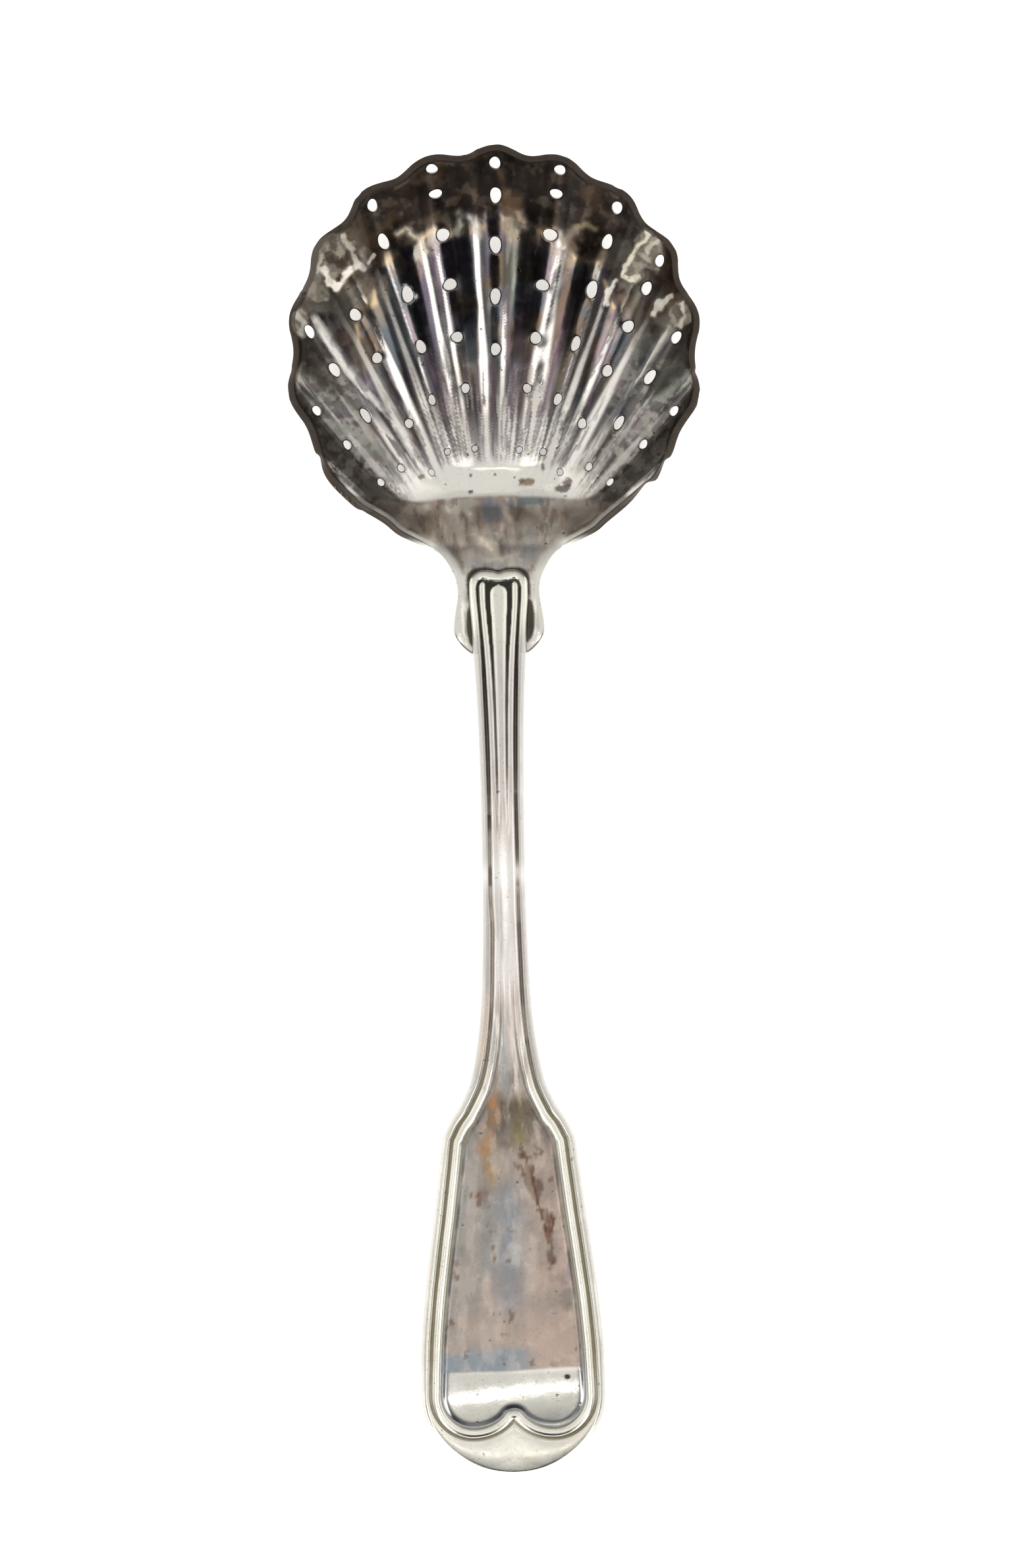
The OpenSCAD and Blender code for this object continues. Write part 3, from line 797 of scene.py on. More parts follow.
    # rubbed spots along the outermost edge
    above = ease(43, 46, y)
    width = 0.28 + 0.55 * (fbm(x, y, 2.3, 171, 3) - 0.25)
    col = over(col, (0.05, 0.04, 0.033), 0.92 * above * ease(width + 0.12, width - 0.12, d_out) * ease(0.22, 0.42, fbm(x, y, 1.3, 177, 3)))
    # a paler band just inside the edge is a painted highlight
    lip = ease(0.8, 0.6, d_out) * ease(0.2, 0.4, d_out) * ease(0.50, 0.62, fbm(x, y, 1.7, 173, 3))
    col = over(col, (0.30, 0.27, 0.23), lip * 0.3 * above)
    # the film there is patchy: tan, grey and brown
    top_band = gauss(ez - 9.6, 1.5) * pres * far
    col = over(col, (0.30, 0.235, 0.17), 0.75 * top_band * ease(0.46, 0.60, fbm(x, y, 2.4, 183, 4)))
    col = over(col, (0.50, 0.46, 0.38), 0.55 * top_band * ease(0.56, 0.66, fbm(x * 1.4, y * 0.7, 1.9, 187, 4)))
    # golden tan arcs where the ridges end
    arc = gauss(ez - 8.7, 0.45) * ease(0.45, 0.60, fbm(x, y, 2.6, 181, 3)) * pres * ease(56, 64, y)
    col = over(col, (0.60, 0.46, 0.28), 0.75 * arc)
    # crusty patches: grey-brown, with cream-coloured ridges and dark spots
    crust = np.zeros(len(x))
    for cx, cy, rx, ry, sd in (
        (-21.5, 75.2, 2.9, 3.4, 41), (-24.1, 72.4, 1.6, 3.0, 43), (21.3, 75.4, 1.8, 2.6, 47), (19.3, 72.8, 1.3, 1.6, 53),
        (25.2, 66.6, 1.3, 1.5, 59), (-26.3, 66.4, 1.2, 1.8, 61),
    ):
        crust = np.maximum(crust, blob(x, y, cx, cy, rx, ry, sd, 0.3, 0.5, 1.8))
    col = over(col, (0.15, 0.13, 0.10), 0.95 * crust * (0.5 + 0.5 * ease(0.30, 0.55, speck)))
    col = over(col, (0.29, 0.26, 0.205), 0.7 * crust * ease(0.46, 0.62, fbm(x, y, 1.1, 75, 4)))
    col = over(col, (0.045, 0.034, 0.024), 0.7 * crust * ease(0.53, 0.63, fbm(x, y, 1.5, 73, 4)))
    for path, w, sd, tn, k in (
        ([[-22.9, 73.6], [-22.5, 72.2], [-21.5, 71.0], [-20.6, 71.8], [-19.5, 73.2], [-18.1, 73.8]], 1.0, 511, (0.86, 0.80, 0.71), 0.95),
        ([[-20.2, 77.9], [-18.9, 75.7], [-17.5, 73.4]], 0.7, 513, (0.52, 0.50, 0.42), 0.8),
        ([[-23.3, 73.7], [-22.9, 75.2], [-21.6, 75.9], [-21.1, 75.1]], 0.6, 515, (0.62, 0.55, 0.46), 0.8),
        ([[-25.6, 75.0], [-25.3, 72.3], [-26.2, 70.0]], 0.7, 517, (0.50, 0.48, 0.45), 0.6),
        ([[-16.8, 74.4], [-16.2, 75.2]], 0.55, 519, (0.56, 0.50, 0.45), 0.6),
        ([[21.1, 77.5], [19.5, 75.5], [18.0, 73.4], [17.6, 72.2], [18.5, 71.5], [20.0, 72.0]], 0.75, 521, (0.68, 0.64, 0.51), 0.9),
        ([[21.2, 75.2], [21.7, 76.1], [22.4, 76.4]], 0.8, 523, (0.62, 0.57, 0.48), 0.8),
        ([[20.4, 74.6], [21.3, 74.0]], 0.6, 525, (0.48, 0.44, 0.36), 0.7),
        ([[23.9, 69.0], [22.7, 67.9], [21.6, 66.8]], 1.1, 527, (0.58, 0.56, 0.47), 0.85),
        ([[16.6, 71.5], [15.9, 70.2], [15.3, 68.4]], 0.6, 529, (0.66, 0.63, 0.56), 0.8),
        ([[25.4, 68.0], [25.9, 66.4], [25.2, 65.2]], 0.7, 531, (0.56, 0.54, 0.46), 0.7),
        ([[-26.6, 67.6], [-25.7, 66.5], [-26.2, 65.0]], 0.7, 533, (0.56, 0.54, 0.48), 0.7),
    ):
        line_ = stroke(x, y, path, w, sd)
        col = over(col, tn, k * line_ * (0.7 + 0.3 * ease(0.35, 0.55, fbm(x, y, 0.9, sd + 50, 3))))
        # an offset copy of each crust ridge paints its shadow beside it
        shade = clamp01(stroke(x + 0.35, y + 0.45, path, w * 0.8, sd) - line_)
        col = over(col, (0.055, 0.045, 0.03), 0.55 * shade)
        crust = np.maximum(crust, 0.9 * line_)
    for cx, cy, rx, ry, sd in ((CLOGGED[0], CLOGGED[1] + 0.5, 0.9, 0.75, 541), (CLOGGED_2[0] - 0.3, CLOGGED_2[1] + 1.3, 0.45, 0.6, 542), (-20.4, 74.4, 0.7, 0.6, 543), (-19.6, 75.4, 0.5, 0.7, 545)):
        col = over(col, (0.030, 0.017, 0.011), 0.9 * blob(x, y, cx, cy, rx, ry, sd, 0.2, 0.8, 0.9))
    # pale film along the arches in which some ridges end
    for path, w, sd, tn, k in (
        ([[-13.0, 78.3], [-11.5, 78.7], [-10.1, 77.8], [-9.0, 75.9]], 0.34, 551, (0.82, 0.74, 0.58), 0.8),
        ([[-4.3, 80.9], [-4.2, 78.4]], 0.62, 553, (0.42, 0.40, 0.34), 0.6),
        ([[-3.2, 80.4], [-2.3, 79.0], [-1.8, 77.4]], 0.42, 555, (0.70, 0.66, 0.63), 0.6),
        ([[2.3, 78.9], [2.9, 80.9], [3.6, 80.9], [4.3, 79.0]], 0.60, 557, (0.47, 0.36, 0.27), 0.6),
        ([[-8.6, 79.6], [-7.0, 80.3]], 0.70, 558, (0.42, 0.32, 0.22), 0.6),
        ([[9.8, 76.3], [11.1, 78.3]], 0.45, 559, (0.62, 0.49, 0.42), 0.75),
        ([[11.7, 78.5], [12.8, 78.8], [13.9, 78.3]], 0.36, 561, (0.66, 0.56, 0.33), 0.75),
        ([[-17.4, 75.9], [-16.9, 74.0]], 0.40, 563, (0.60, 0.51, 0.46), 0.5),
    ):
        line_ = smear(x, y, path, w, sd, 0.45)
        col = over(col, tn, k * line_)
        crust = np.maximum(crust, 0.6 * line_)
    # the third hole of flute -2 is ragged, with pale crust on its lip
    ragged = blob(x, y, -11.4, 70.2, 0.9, 1.5, 565, 0.3, 0.6, 0.9)
    col = over(col, (0.74, 0.72, 0.68), 0.7 * ragged)
    crust = np.maximum(crust, 0.6 * ragged)
    # painted highlight along the ridge between flutes -4 and -3, broken into fine pale streaks
    ridge_highlight = smear(x, y, [[-24.0, 66.6], [-20.2, 60.4], [-15.6, 54.9], [-11.0, 48.4]], 0.62, 567, 0.2)
    ridge_highlight = ridge_highlight * ease(0.40, 0.54, fbm(x * 2.2 + y * 1.6, (y - x) * 0.35, 1.5, 569, 4))
    col = over(col, (0.88, 0.85, 0.82), 0.75 * ridge_highlight)
    crust = np.maximum(crust, 0.5 * ridge_highlight)
    # dark rings of old sugar and polish round the holes
    near_hole = np.exp(-np.maximum(rho - 1, 0) / 0.16)
    col = over(col, (0.05, 0.038, 0.03), 0.8 * near_hole * ease(0.36, 0.60, fbm(x, y, 1.3, 83, 2) + 0.15 * far))
    # heel: brown-grey, with upright streaks and a bluish patch under the crescent
    y_low = y + 1.2 * (fbm(x, y, 1.7, 209, 3) - 0.5)
    heel = ease(43.1, 42.3, y + 0.006 * x * x) * ease(30.9, 32.6, y_low) * ease(24, 17, np.abs(x))
    up = fbm(x * 1.5, y * 0.42, 1.6, 211, 5)
    hn = fbm(x, y * 0.7, 2.6, 213, 5)
    col = over(col, (0.45, 0.41, 0.365), 0.9 * heel)
    col = over(col, (0.30, 0.225, 0.175), 0.7 * heel * ease(0.48, 0.62, hn))
    outside = ease(6.5, 10.5, np.abs(x) + 3 * (hn - 0.5))
    col = over(col, (0.20, 0.165, 0.145), 0.75 * heel * outside * ease(0.42, 0.60, fbm(x, y, 3.1, 219, 5)))
    col = over(col, (0.60, 0.54, 0.46), 0.7 * heel * outside * ease(0.55, 0.66, fbm(x * 0.8, y * 1.2, 1.7, 221, 5)))
    col = over(col, (0.80, 0.72, 0.60), 0.5 * heel * ease(0.50, 0.66, up) * ease(12, 7, np.abs(x)))
    near_loop = ease(37.5, 35.0, y) * ease(8.5, 6.0, np.abs(x))
    col = over(col, (0.41, 0.275, 0.185), 0.45 * heel * (1 - 0.75 * near_loop) * ease(0.50, 0.64, fbm(x * 0.9, y, 2.2, 223, 4)) * ease(13, 9, np.abs(x)))
    col = over(col, (0.38, 0.41, 0.45), 0.45 * heel * near_loop * ease(0.48, 0.60, fbm(x * 1.7, y * 0.9, 1.6, 225, 4)))
    col = over(col, (0.22, 0.17, 0.14), 0.6 * heel * ease(0.57, 0.67, fbm(x * 1.9, y * 0.6, 1.5, 217, 4)))
    col = over(col, (0.26, 0.30, 0.37), 0.7 * heel * blob(x, y, -0.3, 40.9, 2.4, 1.5, 227, 0.05, 0.6, 1.4))
    col = over(col, (0.16, 0.22, 0.25), 0.7 * heel * blob(x, y, 4.9, 41.9, 2.4, 0.6, 233, 0.1, 0.6, 1.2))
    for path, w, sd, tn, k in (
        ([[-3.7, 41.0], [-3.4, 39.6]], 0.55, 571, (0.84, 0.73, 0.62), 0.85),
        ([[-2.9, 37.6], [-2.0, 36.4], [-0.9, 35.3]], 0.75, 572, (1.0, 0.91, 0.77), 0.95),
        ([[-0.2, 37.4], [-0.1, 36.6]], 0.45, 574, (0.90, 0.82, 0.68), 0.8),
        ([[0.8, 41.2], [1.5, 39.6], [2.2, 37.6], [2.7, 36.2]], 0.42, 573, (0.76, 0.64, 0.57), 0.85),
        ([[1.3, 40.9], [0.8, 38.9], [0.5, 37.4]], 0.50, 575, (0.80, 0.67, 0.60), 0.85),
        ([[-5.5, 40.6], [-5.1, 38.0], [-4.9, 36.2]], 0.55, 577, (0.72, 0.63, 0.52), 0.75),
        ([[-4.3, 35.2], [-2.6, 34.9], [-1.2, 34.9]], 0.60, 578, (0.74, 0.66, 0.54), 0.7),
        ([[-2.2, 34.2], [-0.9, 34.0], [0.4, 34.1], [1.4, 34.5]], 0.40, 579, (0.76, 0.71, 0.60), 0.75),
        ([[8.6, 41.0], [8.6, 37.4]], 0.36, 581, (0.62, 0.50, 0.44), 0.75),
        ([[10.0, 41.4], [9.9, 38.2]], 0.36, 583, (0.55, 0.48, 0.43), 0.7),
        ([[-6.7, 41.2], [-6.5, 40.7]], 0.48, 585, (0.80, 0.77, 0.68), 0.85),
        ([[-9.6, 41.4], [-9.4, 41.1]], 0.42, 587, (0.76, 0.72, 0.62), 0.8),
        ([[5.0, 37.9], [4.1, 36.4], [3.5, 35.6]], 0.55, 589, (0.56, 0.55, 0.50), 0.7),
    ):
        line_ = heel * smear(x, y, path, w, sd, 0.3)
        col = over(col, tn, k * line_)
        crust = np.maximum(crust, 0.46 * line_ * ease(0.60, 0.82, tn[0]))
    col = over(col, (0.15, 0.125, 0.10), 0.7 * heel * smear(x, y, [[0.3, 36.6], [0.6, 35.4]], 0.32, 591))
    col = over(col, (0.20, 0.20, 0.19), 0.55 * heel * smear(x, y, [[-6.6, 35.6], [-5.2, 34.2]], 0.8, 593))
    col = over(col, (0.30, 0.31, 0.34), 0.6 * heel * smear(x, y, [[2.9, 35.0], [4.4, 34.4]], 0.9, 595))
    col = over(col, (0.21, 0.21, 0.215), 0.5 * heel * smear(x, y, [[3.2, 41.0], [3.0, 38.4], [3.6, 36.4]], 0.5, 597))
    crease = gauss(y - (42.55 - 0.006 * x * x), 0.16) * ease(9.5, 7.5, np.abs(x))
    col = over(col, (0.14, 0.12, 0.10), 0.7 * crease * ease(0.3, 0.5, fbm(x, y, 2.0, 229, 2)))
    dull = dull + 0.17 * heel + 0.10 * heel * outside
    # the pale crescent between flutes and heel
    pale = ease(42.3, 43.0, y + 0.006 * x * x) * ease(47.6, 46.4, y + 0.012 * x * x) * ease(12, 8.5, np.abs(x))
    col = over(col, (0.88, 0.865, 0.81), 0.8 * pale)
    # spots on the crescent
    for cx, cy, rx, ry, sd, tn in (
        (4.2, 44.4, 1.0, 0.62, 241, (0.24, 0.17, 0.11)), (3.4, 44.7, 0.55, 0.3, 242, (0.2, 0.14, 0.09)),
        (8.9, 43.5, 0.95, 0.6, 243, (0.09, 0.08, 0.08)), (9.7, 44.2, 0.7, 0.6, 244, (0.12, 0.08, 0.08)),
        (-3.6, 43.2, 0.42, 0.34, 245, (0.05, 0.05, 0.05)), (-3.5, 45.5, 0.28, 0.2, 247, (0.15, 0.12, 0.1)),
        (-0.2, 45.5, 0.22, 0.16, 249, (0.18, 0.15, 0.12)), (-10.3, 45.4, 0.45, 0.3, 251, (0.2, 0.15, 0.1)),
        (6.3, 46.3, 0.28, 0.5, 253, (0.15, 0.12, 0.1)),
    ):
        col = over(col, tn, 0.85 * blob(x, y, cx, cy, rx, ry, sd, 0.2, 0.7, 0.5))
    # painted highlight along the neck's raised edge, a grey line on the very edge, and a painted shade line behind it
    neck_edge_light_and_shade = ease(46, 42, y) * (d_out < 3)
    col = over(col, (0.88, 0.86, 0.80), 0.9 * neck_edge_light_and_shade * ease(0.66, 0.5, d_out))
    col = over(col, (0.30, 0.27, 0.23), 0.7 * neck_edge_light_and_shade * ease(0.16, 0.06, d_out))
    col = over(col, (0.12, 0.10, 0.085), 0.65 * neck_edge_light_and_shade * gauss(d_out - 0.85, 0.16) * ease(0.38, 0.55, fbm(x, y, 2.2, 235, 2)) * ease(31, 34, y))
    # tang: pale, with a dark shade close beside the handle
    tang = ease(32.6, 30.9, y_low)
    col = over(col, (0.80, 0.77, 0.71), 0.8 * tang)
    # the painted highlight along the outline widens round the neck and the tang
    col = over(col, (0.86, 0.86, 0.80), 0.8 * ease(38, 35, y) * ease(1.6, 0.8, d_out + 0.6 * (hn - 0.5)))
    col = over(col, (0.50, 0.47, 0.43), 0.5 * tang * ease(0.46, 0.62, fbm(x, y * 0.5, 1.6, 215, 4)) * ease(0.5, 1.1, d_out))
    d_h = np.abs(x) - w_at(np.minimum(y, 32.0))
    # distance from the loop's outline, round its corners
    corner = np.hypot(np.maximum(np.abs(x) - 2.5, 0), np.maximum(y - 31.1 + 0.30 * gauss(x, 0.7) * (y > 31), 0)) - 1.5
    d_l = np.where(y > 31.1, corner, d_h)
    uneven = 0.16 * (fbm(x, y, 1.3, 257, 3) - 0.5)
    # a dark line round the handle's end and sides: partly solder and tarnish, partly painted shadow
    close = ease(0.50, 0.14, d_l + uneven) * ease(27.5, 29.5, y) * (y < 34)
    close = np.maximum(close, np.exp(-np.maximum(d_l, 0) / 0.12) * (y < 34))
    col = over(col, (0.045, 0.035, 0.03), 0.95 * clamp01(close))
    for sgn, mid_y, tall, wide in ((-1, 24.9, 2.7, 0.66), (1, 25.6, 3.0, 1.0)):
        lens = wide * np.sqrt(np.maximum(0, 1 - ((y - mid_y) / tall) ** 2))
        shade = ease(lens + 0.14, lens - 0.14, d_h + uneven) * (lens > 0.02) * (x * sgn > 0)
        col = over(col, (0.050, 0.046, 0.034), 0.94 * shade)
        dull = dull + 0.15 * shade
    # a dark line along the ears' lower edges
    col = over(col, (0.15, 0.13, 0.11), 0.85 * ease(25.0, 23.2, y) * ease(0.34, 0.16, d_out))
    dull = dull + 0.3 * crust + 0.06 * tang
    # outer skin and hole walls
    outer = np.zeros(len(x))
    outer[n_top : n_top + n_low] = 1.0
    skin = np.tile(np.array([0.74, 0.70, 0.64]), (len(x), 1))
    skin = over(skin, (0.40, 0.34, 0.29), 0.7 * ease(0.42, 0.7, blotch))
    skin = over(skin, (0.12, 0.095, 0.08), 0.8 * pres * ease(0.35, 0.95, -cs) * ease(0.3, 0.6, streak + 0.1))
    skin = over(skin, (0.06, 0.045, 0.035), 0.8 * near_hole)
    skin = over(skin, (0.90, 0.87, 0.80), 0.6 * ease(4.5, 1.5, v[:, 2]) * ease(0.4, 0.6, speck))
    col = np.where(outer[:, None] > 0, skin, col)
    rim_face = np.zeros(len(x))
    rim_face[n_top + n_low :] = 1.0
    rim_face = rim_face * (rho > 1.3) * ease(35.5, 37.5, y)
    col = over(col, (0.075, 0.06, 0.05), 0.93 * rim_face)
    dull = dull + 0.3 * rim_face
    walls = np.zeros(len(x))
    walls[n_top + n_low :] = (rho[n_top + n_low :] < 1.12) & (edge[n_top + n_low :] > 0.9)
    col = over(col, (0.16, 0.13, 0.10), 0.8 * walls)
    dull = dull + 0.2 * walls
    return {"tint": clamp01(col), "dull": clamp01(dull), "crust": crust}


# ---------------------------------------------------------------- handle
HALF_W = pchip([
    [-79.2, 12.45], [-78, 12.44], [-74.2, 12.40], [-72.4, 12.32], [-68.9, 12.05], [-65.3, 11.7], [-61.7, 11.25],
    [-58.2, 10.8], [-54.6, 10.3], [-51, 9.85], [-47.5, 9.4], [-45.4, 9.16], [-44.4, 9.0], [-43.7, 8.72],
    [-42.1, 7.93], [-40.3, 6.75], [-38.6, 5.85], [-36.8, 5.1], [-35, 4.65], [-33.2, 4.3], [-30.5, 3.88],
    [-27.5, 3.55], [-24, 3.3], [-19, 3.12], [-12, 2.97], [-1, 2.94], [8, 3.05], [15, 3.25], [21, 3.58],
    [26, 3.85], [29.2, 4.0], [30.6, 4.0], [31.2, 3.92], [31.6, 3.75], [32.0, 3.42], [32.3, 3.05], [32.5, 2.65],
    [32.6, 2.3],
])
END = 32.6
TIP_C = -79.2


def w_at(y):
    y = np.asarray(y, float)
    tip = 12.45 * np.sqrt(np.maximum(0.0, 1 - (np.minimum(0, y - TIP_C) / 10.8) ** 2))
    return np.where(y < TIP_C, tip, HALF_W(y))


THICK = pchip([[-90, 1.85], [-76, 1.87], [-60, 2.1], [-45, 2.6], [-25, 3.3], [-8, 3.6], [8, 3.5], [21, 3.15]])
GROOVE_D = pchip([[-82, 1.38], [-60, 1.42], [-43.7, 1.38], [-34, 1.32], [-28, 1.25], [-20, 1.16], [0, 1.15],
                  [14, 1.17], [21.6, 1.3], [26, 1.25], [29, 1.15], [31, 1.1]])
RIB_W = pchip([[-12, 0.45], [-3, 0.5], [5, 0.6], [14, 0.7], [19.7, 0.8], [22.7, 0.9], [25.6, 1.0], [27.9, 1.14],
               [29.2, 1.17], [29.8, 1.06], [30.15, 0.85], [30.4, 0.5], [30.55, 0.2]])
BEAD_X = pchip([[-3, 1.15], [5, 1.2], [14, 1.36], [21.6, 1.72], [26, 2.1], [29, 2.27], [31, 2.3]])


def under_z(y):
    y = np.asarray(y, float)
    return np.where(y > -9, 9.7 - 0.00211 * (y + 9) ** 2, 9.7 - 10.0 * ((y + 9) / -81) ** 2)


def seat_z(y):
    return tang_plane(y) + FILM * math.sqrt(1 + TANG_FALL**2)


def crown_z(y):
    """Level of the handle's upper face before its threads are cut."""
    y = np.asarray(y, float)
    body = under_z(y) + THICK(y)
    end = seat_z(y) + 1.35
    return mix(body, end, ease(19, END, y))


def groove_path():
    """The outer groove of the threads, as a closed line, tip at the bottom, with its two lobes."""
    ys = np.concatenate([np.arange(-79.3, -34, 0.2), np.arange(-34, 29.6, 0.3)])
    e = 0.05
    slope = (w_at(ys + e) - w_at(ys - e)) / (2 * e)
    gx = w_at(ys) - GROOVE_D(ys) * np.sqrt(1 + np.clip(slope, -1, 1) ** 2)
    gx = mix(11.18, gx, ease(-79.3, -74, ys))
    # over the looped end: up round the inner beads and across with a small dip
    cap = spline([[gx[-1], 29.5], [2.86, 30.2], [2.62, 30.85], [2.2, 31.12], [1.72, 31.02], [1.2, 30.86], [0.6, 30.78], [0, 30.74]], 8)
    # two lobes, a little flatter towards the cusp between them
    phi = np.radians(np.linspace(0, -145.37, 90))
    arc = np.stack([5.43 + np.where(np.cos(phi) > 0, 5.75, 6.6) * np.cos(phi), -79.3 + 5.9 * np.sin(phi)], -1)
    right = np.vstack([arc[::-1], np.stack([gx, ys], -1)[1:], cap[1:]])
    left = right[::-1] * np.array([-1, 1])
    left[:, 0] += 0.28 * ease(-11, -17, left[:, 1]) * ease(-41, -34, left[:, 1])
    return np.vstack([right, left[1:-1]])


def signed_distance(x, y, poly, far=4.0):
    """Distance to a closed line, positive inside it."""
    pts = np.stack([x, y], -1)
    a, b = poly, np.roll(poly, -1, axis=0)
    d = b - a
    ll = (d * d).sum(1)
    ll = np.where(ll < 1e-12, 1e-12, ll)
    order = np.argsort(pts[:, 1])
    best = np.full(len(pts), far)
    for i in range(0, len(pts), 3000):
        idx = order[i : i + 3000]
        p = pts[idx]
        lo, hi = p[:, 1].min() - far, p[:, 1].max() + far
        use = (np.minimum(a[:, 1], b[:, 1]) < hi) & (np.maximum(a[:, 1], b[:, 1]) > lo)
        if not use.any():
            continue
        aa, dd, l2 = a[use], d[use], ll[use]
        t = clamp01(((p[:, None, :] - aa) * dd).sum(-1) / l2)
        c = aa + t[..., None] * dd
        dist = np.sqrt(((p[:, None, :] - c) ** 2).sum(-1)).min(1)
        best[idx] = np.minimum(best[idx], dist)
    return np.where(inside(poly, pts), best, -best)


GROOVE = groove_path()


def relief(x, y, d_edge):
    """(height of the threads against the crown, darkness of their hollows)."""
    q = signed_distance(x, y, GROOVE)
    a = np.abs(x)
    # outer bead: full round from the groove to the edge
    w_b = GROOVE_D(y)
    o = clamp01(-q / np.maximum(-q + d_edge, 0.1))
    outer = 0.24 * (1 - (2 * o - 0.95) ** 2) * ease(0, 0.42, -q)
    outer = outer * mix(1.0, 0.55, ease(-80, -86, y))
    # fiddle and lower stem: inner bead and inner groove follow the outer groove
    s = mix(0.75, 1.0, ease(-22, -34, y))
    bead = np.sqrt(np.maximum(0, 1 - clamp01(np.abs(q - 0.70 * s) / (0.66 * s)) ** 2))
    u = q - 1.45 * s
    groove2 = np.where(u < 0, gauss(u, 0.15), gauss(u, 0.42 * s))
    low_part = ease(-16, -32, y)
    fid = (0.22 * bead - 0.16 * groove2) * low_part
    # the panel dips between the lobes, along a slightly slanted line
    dip = np.maximum(0, -76.9 - (y - 0.1 * x))
    fid = fid - 0.0075 * dip**2 * ease(0.9, 2.2, q) * ease(-70, -74, y)
    panel = 0.1 * ease(0.0, 0.5, q) * (1 - 0.6 * low_part)
    # stem: one round crown between the grooves
    half = np.maximum(w_b * 0 + w_at(y) - w_b, 0.5)
    hump = 0.34 * np.sqrt(np.maximum(0, 1 - clamp01(a / half) ** 2)) * (1 - low_part)
    # upper stem and loop: beads and rib
    up = ease(-5, 7, y)
    bx = BEAD_X(y)
    by = np.where(y > 30.72, y - 30.72, 0.0)
    bd = np.hypot(a - bx, by)
    bead_u = 0.30 * np.sqrt(np.maximum(0, 1 - clamp01(bd / 0.43) ** 2))
    rw = RIB_W(y) * (y < 30.62)
    rib = 0.36 * np.sqrt(np.maximum(0, 1 - clamp01(a / np.maximum(rw, 0.02)) ** 2)) * (rw > 0.02)
    upper = np.maximum(bead_u, rib) - 0.06 * ease(20, 29, y)
    inside_h = mix(hump + fid + panel, upper * ease(0.02, 0.2, q), up)
    cut = -0.30 * gauss(q, 0.26 * mix(1.0, 0.8, up))
    deep = 0.12 * ease(18, 28, y) * ease(-0.1, 0.25, q)
    h = np.where(q > 0, inside_h, outer) + cut * 0.75 - deep
    hollow = gauss(q, mix(0.22, 0.19, up)) + 0.95 * np.where(u < 0, groove2, gauss(u, 0.2)) * low_part
    gap = up * (q > 0) * clamp01(1 - np.maximum(bead_u, rib) / 0.17)
    return h, np.maximum(hollow, 0.85 * gap)


def outline_distance(x, y, line):
    return np.abs(signed_distance(x, y, line, 3.0))


